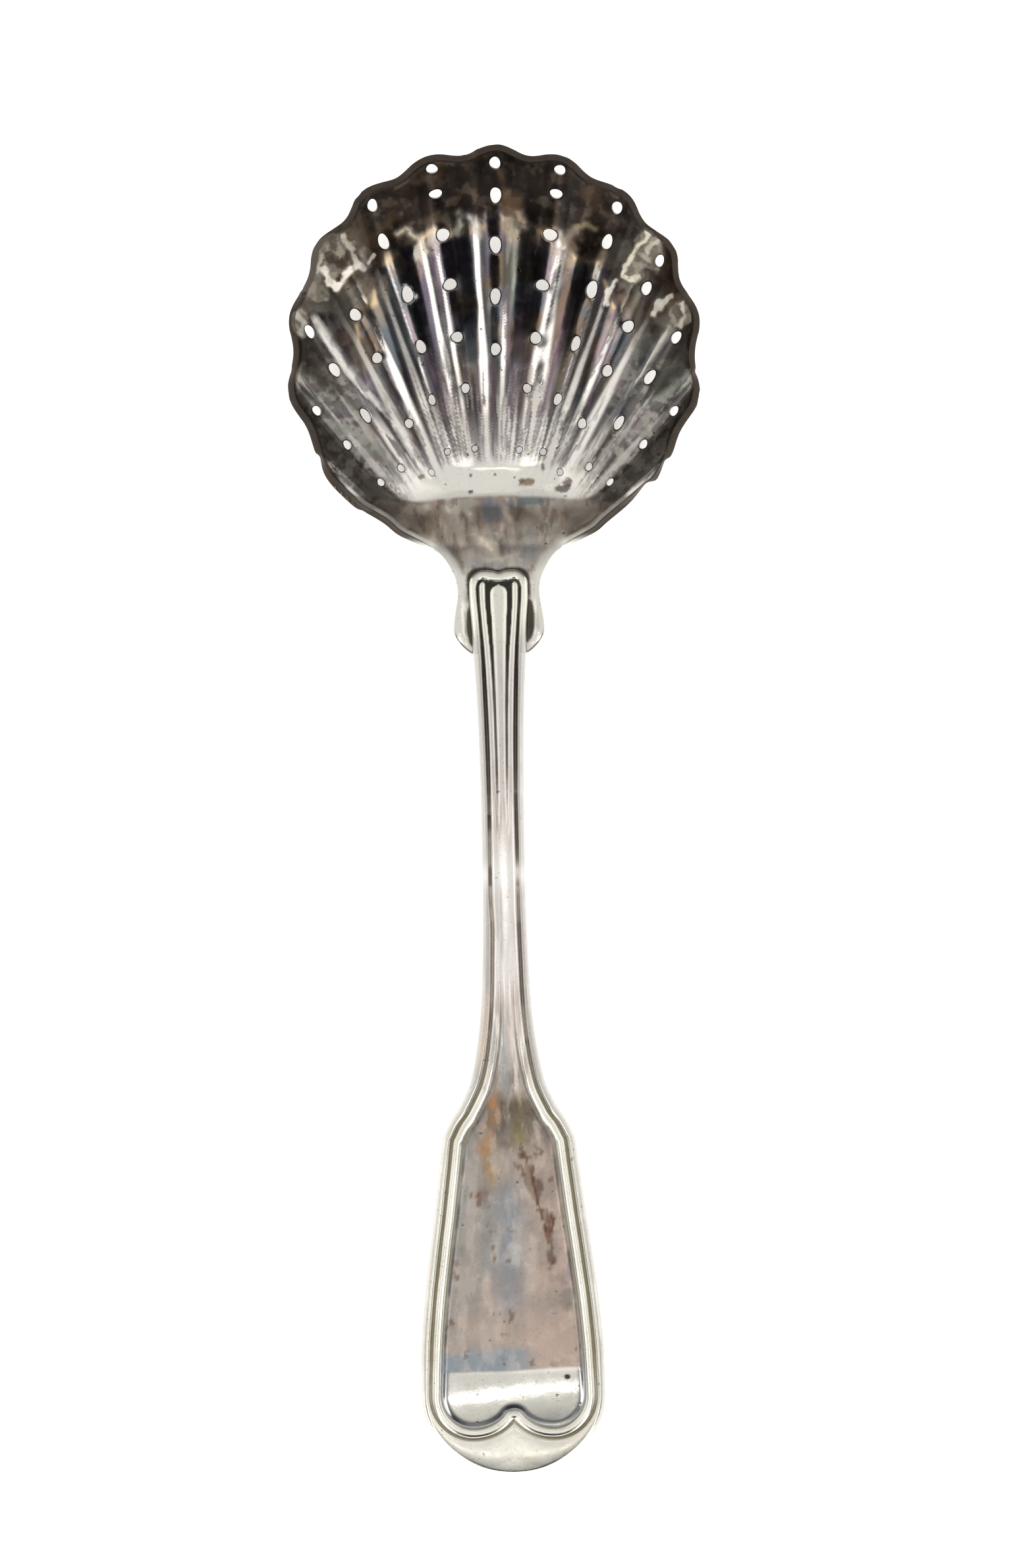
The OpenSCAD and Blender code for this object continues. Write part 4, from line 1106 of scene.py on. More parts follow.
def build_handle():
    phi = np.arange(0, math.pi / 2, 0.0125)
    tip_rows = TIP_C - 10.8 * np.cos(phi)
    k = 1.0
    rows = np.concatenate([
        tip_rows, np.arange(TIP_C, -73, 0.16 * k), np.arange(-73, -46, 0.4 * k), np.arange(-46, -34, 0.22 * k),
        np.arange(-34, 20.9, 0.5 * k), [21.0, 21.149, 21.151], np.arange(21.3, 27, 0.25 * k),
        np.arange(27, 32.3, 0.12 * k), [32.36, 32.44, 32.5, 32.55, 32.58, END],
    ])
    w = w_at(rows)
    half = 84
    # column places from 0 at the middle to 1 at the edge: fine at the threads
    offs = np.concatenate([[0, 0.015, 0.045, 0.09, 0.15, 0.22, 0.3], np.arange(0.4, 3.9, 0.115)])
    n_in = max(6, half - len(offs))
    cols = []
    for yy, ww in zip(rows, w):
        if ww < 1e-6:
            cols.append(np.zeros(len(offs) + n_in))
            continue
        # squeeze the thread columns where the handle is narrow
        f = min(1.0, 0.86 * ww / offs[-1]) if offs[-1] > 0.86 * ww else 1.0
        oo = offs * f
        inner = np.linspace(0, ww - oo[-1], n_in + 1)[:-1]
        cols.append(np.concatenate([inner, (ww - oo)[::-1]]))
    cols = np.array(cols)
    xs = np.concatenate([-cols[:, :0:-1], cols], axis=1)
    nr, nc = xs.shape
    Y = np.repeat(rows[:, None], nc, 1)
    X = xs.copy()
    # the looped end's top edge: two low arches with a small dip between them
    Y = Y - 0.30 * ease(29.5, END, Y) * gauss(X, 0.7)
    line_r = np.stack([xs[:, -1], Y[:, -1]], -1)
    line_l = np.stack([xs[:, 0], Y[:, 0]], -1)
    end = np.stack([xs[-1], Y[-1]], -1)
    line = np.vstack([line_r[:-1], end[::-1], line_l[:-1][::-1][:-1]])
    xf, yf = X.ravel(), Y.ravel()
    d_edge = outline_distance(xf, yf, line).reshape(nr, nc)
    d_edge[:, 0] = d_edge[:, -1] = 0
    d_edge[-1] = 0
    rel, hollow = relief(xf, yf, d_edge.ravel())
    rel, hollow = rel.reshape(nr, nc), hollow.reshape(nr, nc)
    crown = crown_z(Y)
    zb_row = np.where(rows > STEP_Y, seat_z(rows), under_z(rows))
    zb = np.repeat(zb_row[:, None], nc, 1)
    t = crown - zb
    wave = 0.012 * waves(X, Y, 51, 9, 6, 16) + 0.004 * waves(X, Y, 52, 9, 2, 4)
    wave = wave * mix(0.35, 1.0, ease(-76, -71, Y))
    zt = crown + rel + wave * ease(0.0, 1.0, d_edge)
    split = mix(0.5, 0.28, ease(17, 22, Y))
    zm = zb + split * t
    r_top = mix(0.62, 0.8, ease(-20, -4, Y)) * mix(1.0, 0.38, ease(30.2, 31.6, Y))
    r_top = np.minimum(r_top, mix(0.4, 2.0, ease(-90, -84, Y)))
    r_top = np.maximum(r_top, 0.3)
    g = np.sqrt(np.maximum(0, 1 - (1 - clamp01(d_edge / r_top)) ** 2))
    top = zm + (zt - zm) * g
    # underside: its own coarse columns between the same edges
    nb = 24
    u = np.linspace(-1, 1, 2 * nb + 1)
    u = np.sign(u) * (1 - (1 - np.abs(u)) ** 1.8)
    XB = u[None, :] * w[:, None]
    YB = np.repeat(rows[:, None], XB.shape[1], 1)
    YB = YB - 0.30 * ease(29.5, END, YB) * gauss(XB, 0.7)
    db = outline_distance(XB.ravel(), YB.ravel(), line).reshape(XB.shape)
    db[:, 0] = db[:, -1] = 0
    db[-1] = 0
    r_low = mix(1.1, 0.12, ease(20.9, 21.1, YB))
    gb = np.sqrt(np.maximum(0, 1 - (1 - clamp01(db / r_low)) ** 2))
    zbb = np.repeat(zb_row[:, None], XB.shape[1], 1)
    zmb = zbb + mix(0.5, 0.28, ease(17, 22, YB)) * (crown_z(YB) - zbb)
    low = zmb + (zbb - zmb) * gb
    # the tip's underside is worn flat where it rests
    top = np.maximum(top, 0.6)
    low = np.maximum(low, 0.0)
    edge_z = np.maximum(zm, 0.0)
    top[:, 0] = top[:, -1] = low[:, 0] = low[:, -1] = 0.5 * (edge_z[:, 0] + edge_z[:, -1])
    # number the points: the first row is one point, the edges are shared by both skins
    ids = np.full((nr, nc), -1)
    idb = np.full(XB.shape, -1)
    verts = []

    def add(p):
        verts.append(p)
        return len(verts) - 1

    tip = add((0.0, rows[0], float(edge_z[0, 0])))
    ids[0, :] = tip
    idb[0, :] = tip
    for j in range(1, nr):
        base = len(verts)
        verts.extend(zip(X[j], Y[j], top[j]))
        ids[j] = np.arange(base, base + nc)
        idb[j, 0], idb[j, -1] = ids[j, 0], ids[j, -1]
        base = len(verts)
        verts.extend(zip(XB[j, 1:-1], YB[j, 1:-1], low[j, 1:-1]))
        idb[j, 1:-1] = np.arange(base, base + XB.shape[1] - 2)
    # close the looped end: top's last row to the underside's last row
    verts = np.array(verts, float)
    tris = []

    def grid(m, up):
        a, b, c, d = m[:-1, :-1], m[:-1, 1:], m[1:, 1:], m[1:, :-1]
        t1 = np.stack([a, b, c], -1).reshape(-1, 3)
        t2 = np.stack([a, c, d], -1).reshape(-1, 3)
        tt = np.vstack([t1, t2])
        if not up:
            tt = tt[:, ::-1]
        ok = (tt[:, 0] != tt[:, 1]) & (tt[:, 1] != tt[:, 2]) & (tt[:, 0] != tt[:, 2])
        return tt[ok]

    tris.append(grid(ids, True))
    tris.append(grid(idb, False))
    # end face: zip the two last rows, which share their first and last points
    a_row, b_row = list(ids[-1]), list(idb[-1])
    i = j = 0
    cap = []
    while i < len(a_row) - 1 or j < len(b_row) - 1:
        xa = verts[a_row[i + 1], 0] if i < len(a_row) - 1 else 1e9
        xb = verts[b_row[j + 1], 0] if j < len(b_row) - 1 else 1e9
        if xa <= xb and i < len(a_row) - 1:
            cap.append([a_row[i], b_row[j], a_row[i + 1]])
            i += 1
        else:
            cap.append([a_row[i], b_row[j], b_row[j + 1]])
            j += 1
    cap = np.array([c for c in cap if len(set(c)) == 3])
    tris.append(cap)
    tris = np.vstack(tris)
    # normals from the dense mesh itself
    fn = np.cross(verts[tris[:, 1]] - verts[tris[:, 0]], verts[tris[:, 2]] - verts[tris[:, 0]])
    norms = np.zeros_like(verts)
    for k_ in range(3):
        np.add.at(norms, tris[:, k_], fn)
    ln = np.linalg.norm(norms, axis=1, keepdims=True)
    norms = norms / np.where(ln < 1e-12, 1, ln)
    hol, d_e = np.zeros(len(verts)), np.zeros(len(verts))
    hol[ids[1:].ravel()] = hollow[1:].ravel()
    d_e[ids[1:].ravel()] = d_edge[1:].ravel()
    top_m = np.zeros(len(verts))
    top_m[ids.ravel()] = 1
    return make_piece("fiddle_handle", verts, tris, None, handle_values(verts, hol, top_m, d_e))


def handle_values(v, hollow, top, d_edge):
    """The handle's tarnish, with painted highlights and shade, at each point: its tint and its dullness."""
    x, y = v[:, 0], v[:, 1]
    q = signed_distance(x, y, GROOVE)
    blotch = fbm(x, y, 6.5, 301, 5)
    speck = fbm(x, y, 1.4, 307, 4)
    long_ = fbm(x * 2.2, y * 0.5, 3.0, 311, 4)
    col = np.tile(np.array([0.90, 0.88, 0.80]), (len(x), 1))
    dull = np.full(len(x), 0.13)
    col = over(col, (0.74, 0.70, 0.60), 0.6 * ease(0.38, 0.7, blotch))
    col = over(col, (0.70, 0.63, 0.58), 0.5 * ease(0.4, 0.7, long_) * ease(-34, -28, y))
    # the stem is pale and a little pink and darker towards the looped end; a painted highlight lies at the top of its
    # arch, with the streaky film kept off it
    shaft = ease(-36, -24, y) * ease(26, 17, y)
    col = over(col, (0.86, 0.865, 0.79), 0.75 * ease(17, 25, y))
    col = over(col, (0.95, 0.90, 0.885), 0.7 * shaft)
    col = col * (1 - 0.20 * shaft * ease(-3, 6, y))[:, None]
    col = over(col, (1.0, 0.98, 0.96), 0.8 * gauss(y + 8.3, 3.4) * top)
    col = over(col, (0.62, 0.58, 0.54), 0.5 * shaft * ease(0.54, 0.66, fbm(x * 3.0, y * 0.28, 1.4, 303, 4)) * (1 - gauss(y + 8.3, 3.4)))
    grey = top * ease(-23, -29, y) * ease(-41, -37, y) * ease(0.1, 0.5, q)
    col = over(col, (0.36, 0.37, 0.38), 0.62 * grey * ease(0.49, 0.60, fbm(x * 2.6, y * 0.35, 1.9, 305, 4)))
    # the panel of the fiddle: a coloured film that ends in a straight edge above the lobes
    panel = ease(1.35, 1.75, q) * ease(-31, -39, y) * top
    edge_y = -75.9 + 0.035 * x + 0.25 * (fbm(x, y, 3, 313, 2) - 0.5)
    film = panel * ease(-0.25, 0.25, y - edge_y)
    n1, n2 = fbm(x, y, 5.0, 317, 5), fbm(x + 30, y * 0.8, 7.0, 331, 4)
    base = mix(np.array([0.42, 0.335, 0.285])[None, :], np.array([0.33, 0.31, 0.29])[None, :], ease(2.5, -4.0, x + 5 * (n1 - 0.5))[:, None])
    a = clamp01(film * 0.95)[:, None]
    col = col * (1 - a) + base * a
    col = over(col, (0.50, 0.385, 0.325), 0.75 * film * ease(0.42, 0.68, n1) * ease(-60, -64, y + 3 * (n2 - 0.5)))
    col = over(col, (0.55, 0.42, 0.36), 0.6 * film * ease(0.40, 0.62, n2) * ease(0.5, 3.5, x))
    mid_blue = gauss(x + 0.3 + 1.6 * (n2 - 0.5), 2.1) * ease(-48, -53, y) * ease(-71, -65, y)
    col = over(col, (0.27, 0.31, 0.35), 0.8 * film * mid_blue)
    col = over(col, (0.60, 0.60, 0.60), 0.5 * film * blob(x, y, 0.2, -60.3, 1.3, 1.6, 337, 0, 0.5))
    col = over(col, (0.17, 0.135, 0.105), 0.75 * film * blob(x, y, -0.6, -41.5, 3.2, 3.6, 341, 0, 0.5, 2.4))
    col = over(col, (0.19, 0.165, 0.08), 0.6 * film * blob(x, y, 1.7, -42.5, 1.1, 2.8, 343, 0.3, 0.5))
    rust = ease(0.50, 0.64, fbm(x, y * 0.6, 1.3, 345, 4))
    for cx, cy, rx, ry, sd in ((-1.6, -40.6, 0.9, 1.3, 347), (-3.2, -45.3, 1.2, 1.3, 349), (-3.9, -51.6, 1.0, 1.2, 353), (-2.6, -48.4, 1.2, 1.9, 359)):
        col = over(col, (0.36, 0.19, 0.085), 0.62 * film * blob(x, y, cx, cy, rx, ry, sd, 0, 0.9, 1.0) * (0.35 + 0.65 * rust))
    smudge = 0.45 + 0.55 * ease(0.40, 0.60, fbm(x, y * 1.3, 1.6, 366, 4))
    col = over(col, (0.21, 0.205, 0.185), 0.62 * film * smudge * blob(x, y, 6.9, -66.2, 2.2, 1.3, 367, 0.2, 1.0, 2.4))
    col = over(col, (0.12, 0.105, 0.115), 0.6 * film * smudge * blob(x, y, 7.4, -63.6, 1.8, 0.8, 369, -0.3, 1.0, 2.0))
    col = over(col, (0.15, 0.16, 0.12), 0.5 * film * blob(x, y, 7.7, -67.6, 1.1, 0.7, 368, 0.3, 0.8, 2.0))
    col = over(col, (0.20, 0.17, 0.20), 0.6 * film * blob(x, y, 8.6, -61.5, 0.9, 2.4, 373, 0.0, 0.5, 1.5))
    bluish = film * ease(3.5, 2.1, y - edge_y + 1.0 * (n1 - 0.5)) * ease(5.0, 0.0, x + 2 * (n2 - 0.5))
    col = over(col, (0.27, 0.325, 0.37), 0.85 * bluish)
    for cx, cy, rx, ry, sd, tn in (
        (0.2, -39.2, 1.4, 1.8, 387, (0.20, 0.15, 0.10)), (3.4, -41.0, 1.1, 1.8, 381, (0.13, 0.10, 0.07)),
        (-3.8, -42.6, 0.9, 1.8, 391, (0.20, 0.17, 0.16)), (5.3, -43.3, 0.8, 1.7, 393, (0.22, 0.18, 0.18)),
        (-1.9, -40.4, 0.8, 1.9, 375, (0.46, 0.22, 0.08)), (1.7, -41.2, 1.0, 1.9, 377, (0.38, 0.33, 0.13)),
        (1.0, -44.2, 0.8, 1.6, 395, (0.42, 0.36, 0.16)), (-3.1, -44.8, 0.9, 1.7, 399, (0.50, 0.27, 0.12)),
        (-2.6, -48.6, 1.1, 2.2, 402, (0.40, 0.29, 0.16)), (-3.6, -51.8, 0.9, 0.9, 404, (0.22, 0.13, 0.09)),
    ):
        ux, uy = (x - cx + 1.5 * (fbm(x, y, 1.7, sd, 4) - 0.5)) / rx, (y - cy + 2.0 * (fbm(x, y, 1.7, sd + 1, 4) - 0.5)) / ry
        col = over(col, tn, 0.85 * film * np.exp(-0.8 * (ux * ux + uy * uy)) * (0.4 + 0.6 * ease(0.36, 0.62, fbm(x * 1.3, y * 0.8, 1.3, sd + 3, 4))))
    # a wandering line of rust-brown tarnish
    path = np.array([[1.9, -46.6], [2.3, -47.9], [3.3, -51.1], [4.6, -54.1], [5.5, -56.6], [5.8, -61.2]])
    px, py = x + 2.2 * (fbm(x, y, 2.4, 411, 4) - 0.5), y + 1.4 * (fbm(x, y, 1.9, 412, 4) - 0.5)
    dist = np.full(len(x), 9.0)
    for (x1, y1), (x2, y2) in zip(path[:-1], path[1:]):
        k = clamp01(((px - x1) * (x2 - x1) + (py - y1) * (y2 - y1)) / ((x2 - x1) ** 2 + (y2 - y1) ** 2))
        dist = np.minimum(dist, np.hypot(px - x1 - k * (x2 - x1), py - y1 - k * (y2 - y1)))
    broken = fbm(x, y, 1.8, 413, 3)
    col = over(col, (0.40, 0.29, 0.22), 0.45 * film * ease(1.1, 0.3, dist))
    col = over(col, (0.125, 0.058, 0.034), 0.92 * film * ease(0.36, 0.45, broken) * ease(1.0, 0.4, dist / (0.20 + 0.95 * ease(0.42, 0.72, broken))))
    for cx, cy, rx, ry, sd in ((3.9, -54.3, 1.3, 0.3, 414), (5.2, -57.8, 0.5, 0.9, 416), (2.6, -48.6, 0.6, 0.6, 418), (8.3, -45.6, 0.4, 0.6, 419)):
        col = over(col, (0.15, 0.075, 0.045), 0.8 * film * blob(x, y, cx, cy, rx, ry, sd, 0.15, 1.2, 0.9))
    # cloudy mottling, drawn out along the panel
    cloud = fbm(x * 1.2, y * 0.45, 1.9, 361, 5)
    col = over(col, (0.27, 0.235, 0.225), 0.42 * film * ease(0.50, 0.72, cloud) * ease(-74, -64, y))
    col = over(col, (0.62, 0.54, 0.48), 0.35 * film * ease(0.50, 0.32, cloud))
    top_dark = film * ease(-49, -41, y + 3 * (n2 - 0.5))
    col = over(col, (0.12, 0.10, 0.085), 0.75 * top_dark * ease(0.42, 0.60, fbm(x * 1.3, y * 0.5, 1.7, 363, 4)))
    # freckles of tarnish, with no order to them
    fr = ease(0.66, 0.74, fbm(x, y, 1.0, 379, 3)) * ease(0.45, 0.6, fbm(x, y, 4.0, 383, 2))
    col = over(col, (0.18, 0.11, 0.07), 0.7 * film * fr)
    col = over(col, (0.03, 0.03, 0.03), 0.95 * blob(x, y, 7.3, -76.9, 0.42, 0.38, 389, 0, 0.3, 0.5) * panel)
    # painted shade along the panel's edge, just inside the inner bead
    col = over(col, (0.10, 0.10, 0.11), 0.7 * film * gauss(q - 1.7, 0.4) * ease(0.35, 0.6, fbm(x, y, 3.2, 397, 2)))
    # grey shade in the lobes
    low = panel * ease(-79.5, -82.5, y)
    col = over(col, (0.55, 0.55, 0.52), 0.5 * low * ease(0.4, 0.6, n1))
    # crest of the lower stem: pinkish brown film between the grooves
    stem = ease(0.1, 0.5, q) * ease(-20, -27, y) * ease(-40, -34, y) * top
    col = over(col, (0.60, 0.50, 0.46), 0.6 * stem * ease(0.35, 0.6, long_))
    lower_stem = ease(-25, -28, y) * ease(-41, -37, y) * ease(0.1, 0.5, q) * top
    streak = fbm(x * 2.4, y * 0.30, 1.7, 306, 4)
    col = over(col, (0.31, 0.335, 0.375), 0.65 * lower_stem * gauss(x + 0.65 + 0.05 * (y + 30), 0.55) * ease(0.40, 0.56, streak))
    col = over(col, (0.93, 0.83, 0.78), 0.6 * lower_stem * gauss(x - 1.15, 0.42) * ease(0.62, 0.42, streak))
    # painted highlight along the middle of the stem
    col = over(col, (1.0, 0.955, 0.945), 0.6 * top * gauss(x - 0.1, 0.7) * ease(-11, -13, y) * ease(-27, -24, y))
    # painted shade greys the outer beads, darkest along the very edge, less where the painted highlight crosses the
    # top of the arch
    outer = top * ease(-0.12, -0.36, q) * ease(-87, -82, y) * ease(27, 22, y)
    bead_highlight = 0.6 * gauss(y + 8.8, 1.6)
    amount = mix(mix(0.26, 0.50, ease(-2, 2, x)), 0.80, ease(-44, -34, y)) * (1 - bead_highlight)
    col = over(col, (0.47, 0.455, 0.44), outer * amount)
    col = over(col, (0.34, 0.325, 0.31), outer * ease(0.44, 0.16, d_edge) * mix(0.35, 0.55, ease(-44, -34, y)) * (1 - 0.5 * bead_highlight))
    peach = outer * ease(0, -1, x) * ease(-23, -26, y) * ease(-36, -33, y)
    col = over(col, (0.80, 0.66, 0.55), 0.6 * peach * ease(0.30, 0.50, d_edge))
    # lines beside the rib fade out along the stem
    col = over(col, (0.33, 0.30, 0.27), 0.7 * top * gauss(x + 0.80, 0.15) * ease(-4.5, -2, y) * ease(8, 5, y))
    col = over(col, (0.45, 0.42, 0.40), 0.5 * top * gauss(x + 0.45, 0.2) * ease(-22, -19, y) * ease(-9, -12, y))
    # painted highlight along the crest of the lower stem
    col = over(col, (0.98, 0.96, 0.95), 0.8 * top * gauss(x - 0.66 + 0.02 * (y + 28), 0.13) * ease(-23, -26, y) * ease(-34, -31, y))
    # painted shade on the inner side of the right-hand inner bead, and a painted shadow on the panel just inside it
    col = over(col, (0.44, 0.41, 0.375), 0.62 * top * ease(1, 2, x) * gauss(q - 1.2, 0.24) * ease(-45, -50, y) * ease(-80, -76, y))
    col = over(col, (0.20, 0.185, 0.18), 0.72 * top * ease(1, 2, x) * gauss(q - 1.9, 0.32) * ease(-66, -70, y) * ease(-77, -75, y))
    # a thin grey line along the outer bead
    thin = gauss(d_edge - 0.36, 0.11) * top * ease(0.30, 0.55, fbm(x, y * 0.3, 1.5, 371, 3) + 0.1) * ease(-84, -78, y)
    col = over(col, (0.30, 0.27, 0.22), 0.55 * thin)
    # painted shade: a soft grey line along the very edge
    col = over(col, (0.40, 0.38, 0.36), 0.5 * top * ease(0.22, 0.06, d_edge) * mix(1.0, 0.45, ease(24, 29, y)))
    # hollows keep a dark patina; on the stem it is partly worn away and lightened under the painted highlight at the
    # top of the arch
    hol = clamp01(hollow * mix(0.85, 1.05, speck))
    worn_and_highlight = np.where(x > 0, 0.6 * gauss(y + 8.4, 1.9), 0.1 * gauss(y + 9.0, 3.0)) + 0.3 * ease(0.50, 0.62, fbm(3 * np.sign(x), y * 0.25, 1.0, 309, 3)) * ease(8, 0, y)
    hol = hol * (1 - clamp01(worn_and_highlight) * ease(14, 6, y) * ease(-36, -26, y))
    dirt = mix(np.array([0.020, 0.017, 0.012])[None, :], np.array([0.120, 0.110, 0.092])[None, :], ease(22, 8, y)[:, None])
    dirt = mix(dirt, np.array([0.270, 0.240, 0.215])[None, :], ease(4, -16, y)[:, None])
    dirt = mix(dirt, np.array([0.470, 0.425, 0.395])[None, :], (ease(0, -1, x) * ease(-12, -15, y) * ease(-28, -25, y))[:, None])
    dirt = mix(dirt, np.array([0.270, 0.245, 0.180])[None, :], ease(-30, -42, y)[:, None])
    dirt = mix(dirt, np.array([0.420, 0.395, 0.330])[None, :], (gauss(y + 78.3, 2.6) * ease(0.3, -0.1, q))[:, None])
    a = (0.97 * ease(0.15, 0.8, hol))[:, None]
    col = col * (1 - a) + dirt * a
    polished = panel * ease(-75.8, -76.6, y)
    col = over(col, (0.74, 0.735, 0.70), 0.7 * polished * ease(-81.0, -79.0, y))
    # painted shade in bands along the panel's sides above the lobes
    col = over(col, (0.30, 0.32, 0.36), 0.8 * top * gauss(q - 1.62, 0.2) * ease(-71, -75, y) * ease(-86, -83, y))
    col = over(col, (0.20, 0.21, 0.23), 0.9 * top * gauss(q - 2.15, 0.24) * ease(-75.6, -76.2, y) * ease(-84, -82, y) * mix(0.8, 1.0, ease(0, -1, x)))
    col = over(col, (0.42, 0.42, 0.42), 0.55 * top * gauss(q - 1.05, 0.2) * ease(-72, -76, y) * ease(-84, -81, y))
    col = over(col, (0.03, 0.03, 0.03), 0.95 * blob(x, y, 7.3, -76.9, 0.42, 0.38, 389, 0, 0.3, 0.5) * panel)
    dull = dull + 0.06 * film + 0.2 * hol - 0.085 * polished
    # underside: quieter film
    under = 1 - top
    col = over(col, (0.55, 0.50, 0.45), under * 0.6 * ease(0.4, 0.65, blotch))
    return {"tint": clamp01(col), "dull": clamp01(dull), "crust": 0.3 * film * ease(0.6, 0.7, speck)}


def build_seam():
    """Solder that shows as a dark line round the looped end and behind the tang."""
    ys = np.concatenate([np.arange(21.6, 30.0, 0.3), np.arange(30.0, 32.5, 0.1), [32.5, 32.56, END]])
    edge = np.stack([w_at(ys), ys], -1)
    d = np.gradient(edge, axis=0)
    n = np.stack([d[:, 1], -d[:, 0]], -1)
    edge = edge + n / np.linalg.norm(n, axis=1, keepdims=True) * (0.11 * ease(21.4, 24, ys) - 0.05)[:, None]
    end = [[x, END + 0.08 - 0.30 * gauss(x, 0.7)] for x in np.linspace(2.1, -2.1, 24)]
    line = np.vstack([edge, end, edge[::-1] * np.array([-1, 1]), [[-3.2, 21.2], [3.2, 21.2]]])
    line = resample(np.vstack([line, line[:1]]), 0.25)[:-1]
    c = np.array([0, 27.0])
    rings, z = [], []
    for f, h in ((1.0, 0.02), (0.985, 0.16), (0.955, 0.26), (0.9, FILM)):
        rings.append(c + (line - c) * f)
        z.append(h)
    m = len(line)
    verts, tris = [], []
    for ring, h in zip(rings, z):
        verts.append(np.column_stack([ring, tang_plane(ring[:, 1]) + h * 1.0]))
    verts.append(np.column_stack([rings[0], tang_plane(rings[0][:, 1]) + 0.0]))
    verts.append([[0, 27.0, tang_plane(27.0) + FILM], [0, 27.0, tang_plane(27.0)]])
    for k in range(3):
        tris.append(strip(np.arange(m) + k * m, np.arange(m) + (k + 1) * m)[:, ::-1])
    tris.append(strip(np.arange(m) + 4 * m, np.arange(m))[:, ::-1])
    t, b = 5 * m, 5 * m + 1
    i = np.arange(m)
    tris.append(np.stack([3 * m + i, 3 * m + np.roll(i, -1), np.full(m, t)], -1)[:, ::-1])
    tris.append(np.stack([4 * m + i, 4 * m + np.roll(i, -1), np.full(m, b)], -1))
    verts, tris = np.vstack(verts), np.vstack(tris)
    vol = np.einsum("ij,ij->i", verts[tris[:, 0]], np.cross(verts[tris[:, 1]], verts[tris[:, 2]])).sum()
    if vol < 0:
        tris = tris[:, ::-1]
    return make_piece("solder_line", verts, tris, None, None)


# ---------------------------------------------------------------- materials
class Nodes:
    """A short way to write node trees."""

    def __init__(self, name):
        self.mat = bpy.data.materials.new(name)
        self.mat.use_nodes = True
        self.t = self.mat.node_tree
        for n in list(self.t.nodes):
            self.t.nodes.remove(n)
        self.out = self.t.nodes.new("ShaderNodeOutputMaterial")
        self.bsdf = self.t.nodes.new("ShaderNodeBsdfPrincipled")
        self.t.links.new(self.bsdf.outputs[0], self.out.inputs[0])
        self.coord = self.t.nodes.new("ShaderNodeTexCoord").outputs["Object"]

    def put(self, socket, value):
        if hasattr(value, "is_linked") or hasattr(value, "links"):
            self.t.links.new(value, socket)
        else:
            socket.default_value = value

    def math(self, op, a, b=0.0, c=0.0, clamp=False):
        n = self.t.nodes.new("ShaderNodeMath")
        n.operation, n.use_clamp = op, clamp
        for s, v in zip(n.inputs, (a, b, c)):
            self.put(s, v)
        return n.outputs[0]

    def attr(self, name):
        n = self.t.nodes.new("ShaderNodeAttribute")
        n.attribute_name = name
        return n.outputs["Fac"]

    def stretch(self, sx, sy, sz, turn=(0, 0, 0)):
        n = self.t.nodes.new("ShaderNodeMapping")
        n.inputs["Scale"].default_value = (sx, sy, sz)
        n.inputs["Rotation"].default_value = turn
        self.t.links.new(self.coord, n.inputs["Vector"])
        return n.outputs[0]

    def noise(self, scale, detail=4.0, rough=0.55, distort=0.0, vec=None):
        n = self.t.nodes.new("ShaderNodeTexNoise")
        self.t.links.new(vec or self.coord, n.inputs["Vector"])
        n.inputs["Scale"].default_value = scale
        n.inputs["Detail"].default_value = detail
        n.inputs["Roughness"].default_value = rough
        n.inputs["Distortion"].default_value = distort
        return n.outputs["Fac"]

    def span(self, v, a, b, lo=0.0, hi=1.0, smooth=True):
        n = self.t.nodes.new("ShaderNodeMapRange")
        n.interpolation_type = "SMOOTHSTEP" if smooth else "LINEAR"
        self.put(n.inputs[0], v)
        for i, k in zip((1, 2, 3, 4), (a, b, lo, hi)):
            n.inputs[i].default_value = k
        return n.outputs[0]

    def blend(self, f, a, b):
        n = self.t.nodes.new("ShaderNodeMix")
        n.data_type = "RGBA"
        self.put(n.inputs["Factor"], f)
        for s, v in ((n.inputs[6], a), (n.inputs[7], b)):
            self.put(s, v if not isinstance(v, tuple) else (*v, 1.0) if len(v) == 3 else v)
        return n.outputs[2]

    def bump(self, height, strength, distance, normal=None):
        n = self.t.nodes.new("ShaderNodeBump")
        n.inputs["Strength"].default_value = strength
        n.inputs["Distance"].default_value = distance
        self.t.links.new(height, n.inputs["Height"])
        if normal is not None:
            self.t.links.new(normal, n.inputs["Normal"])
        return n.outputs[0]


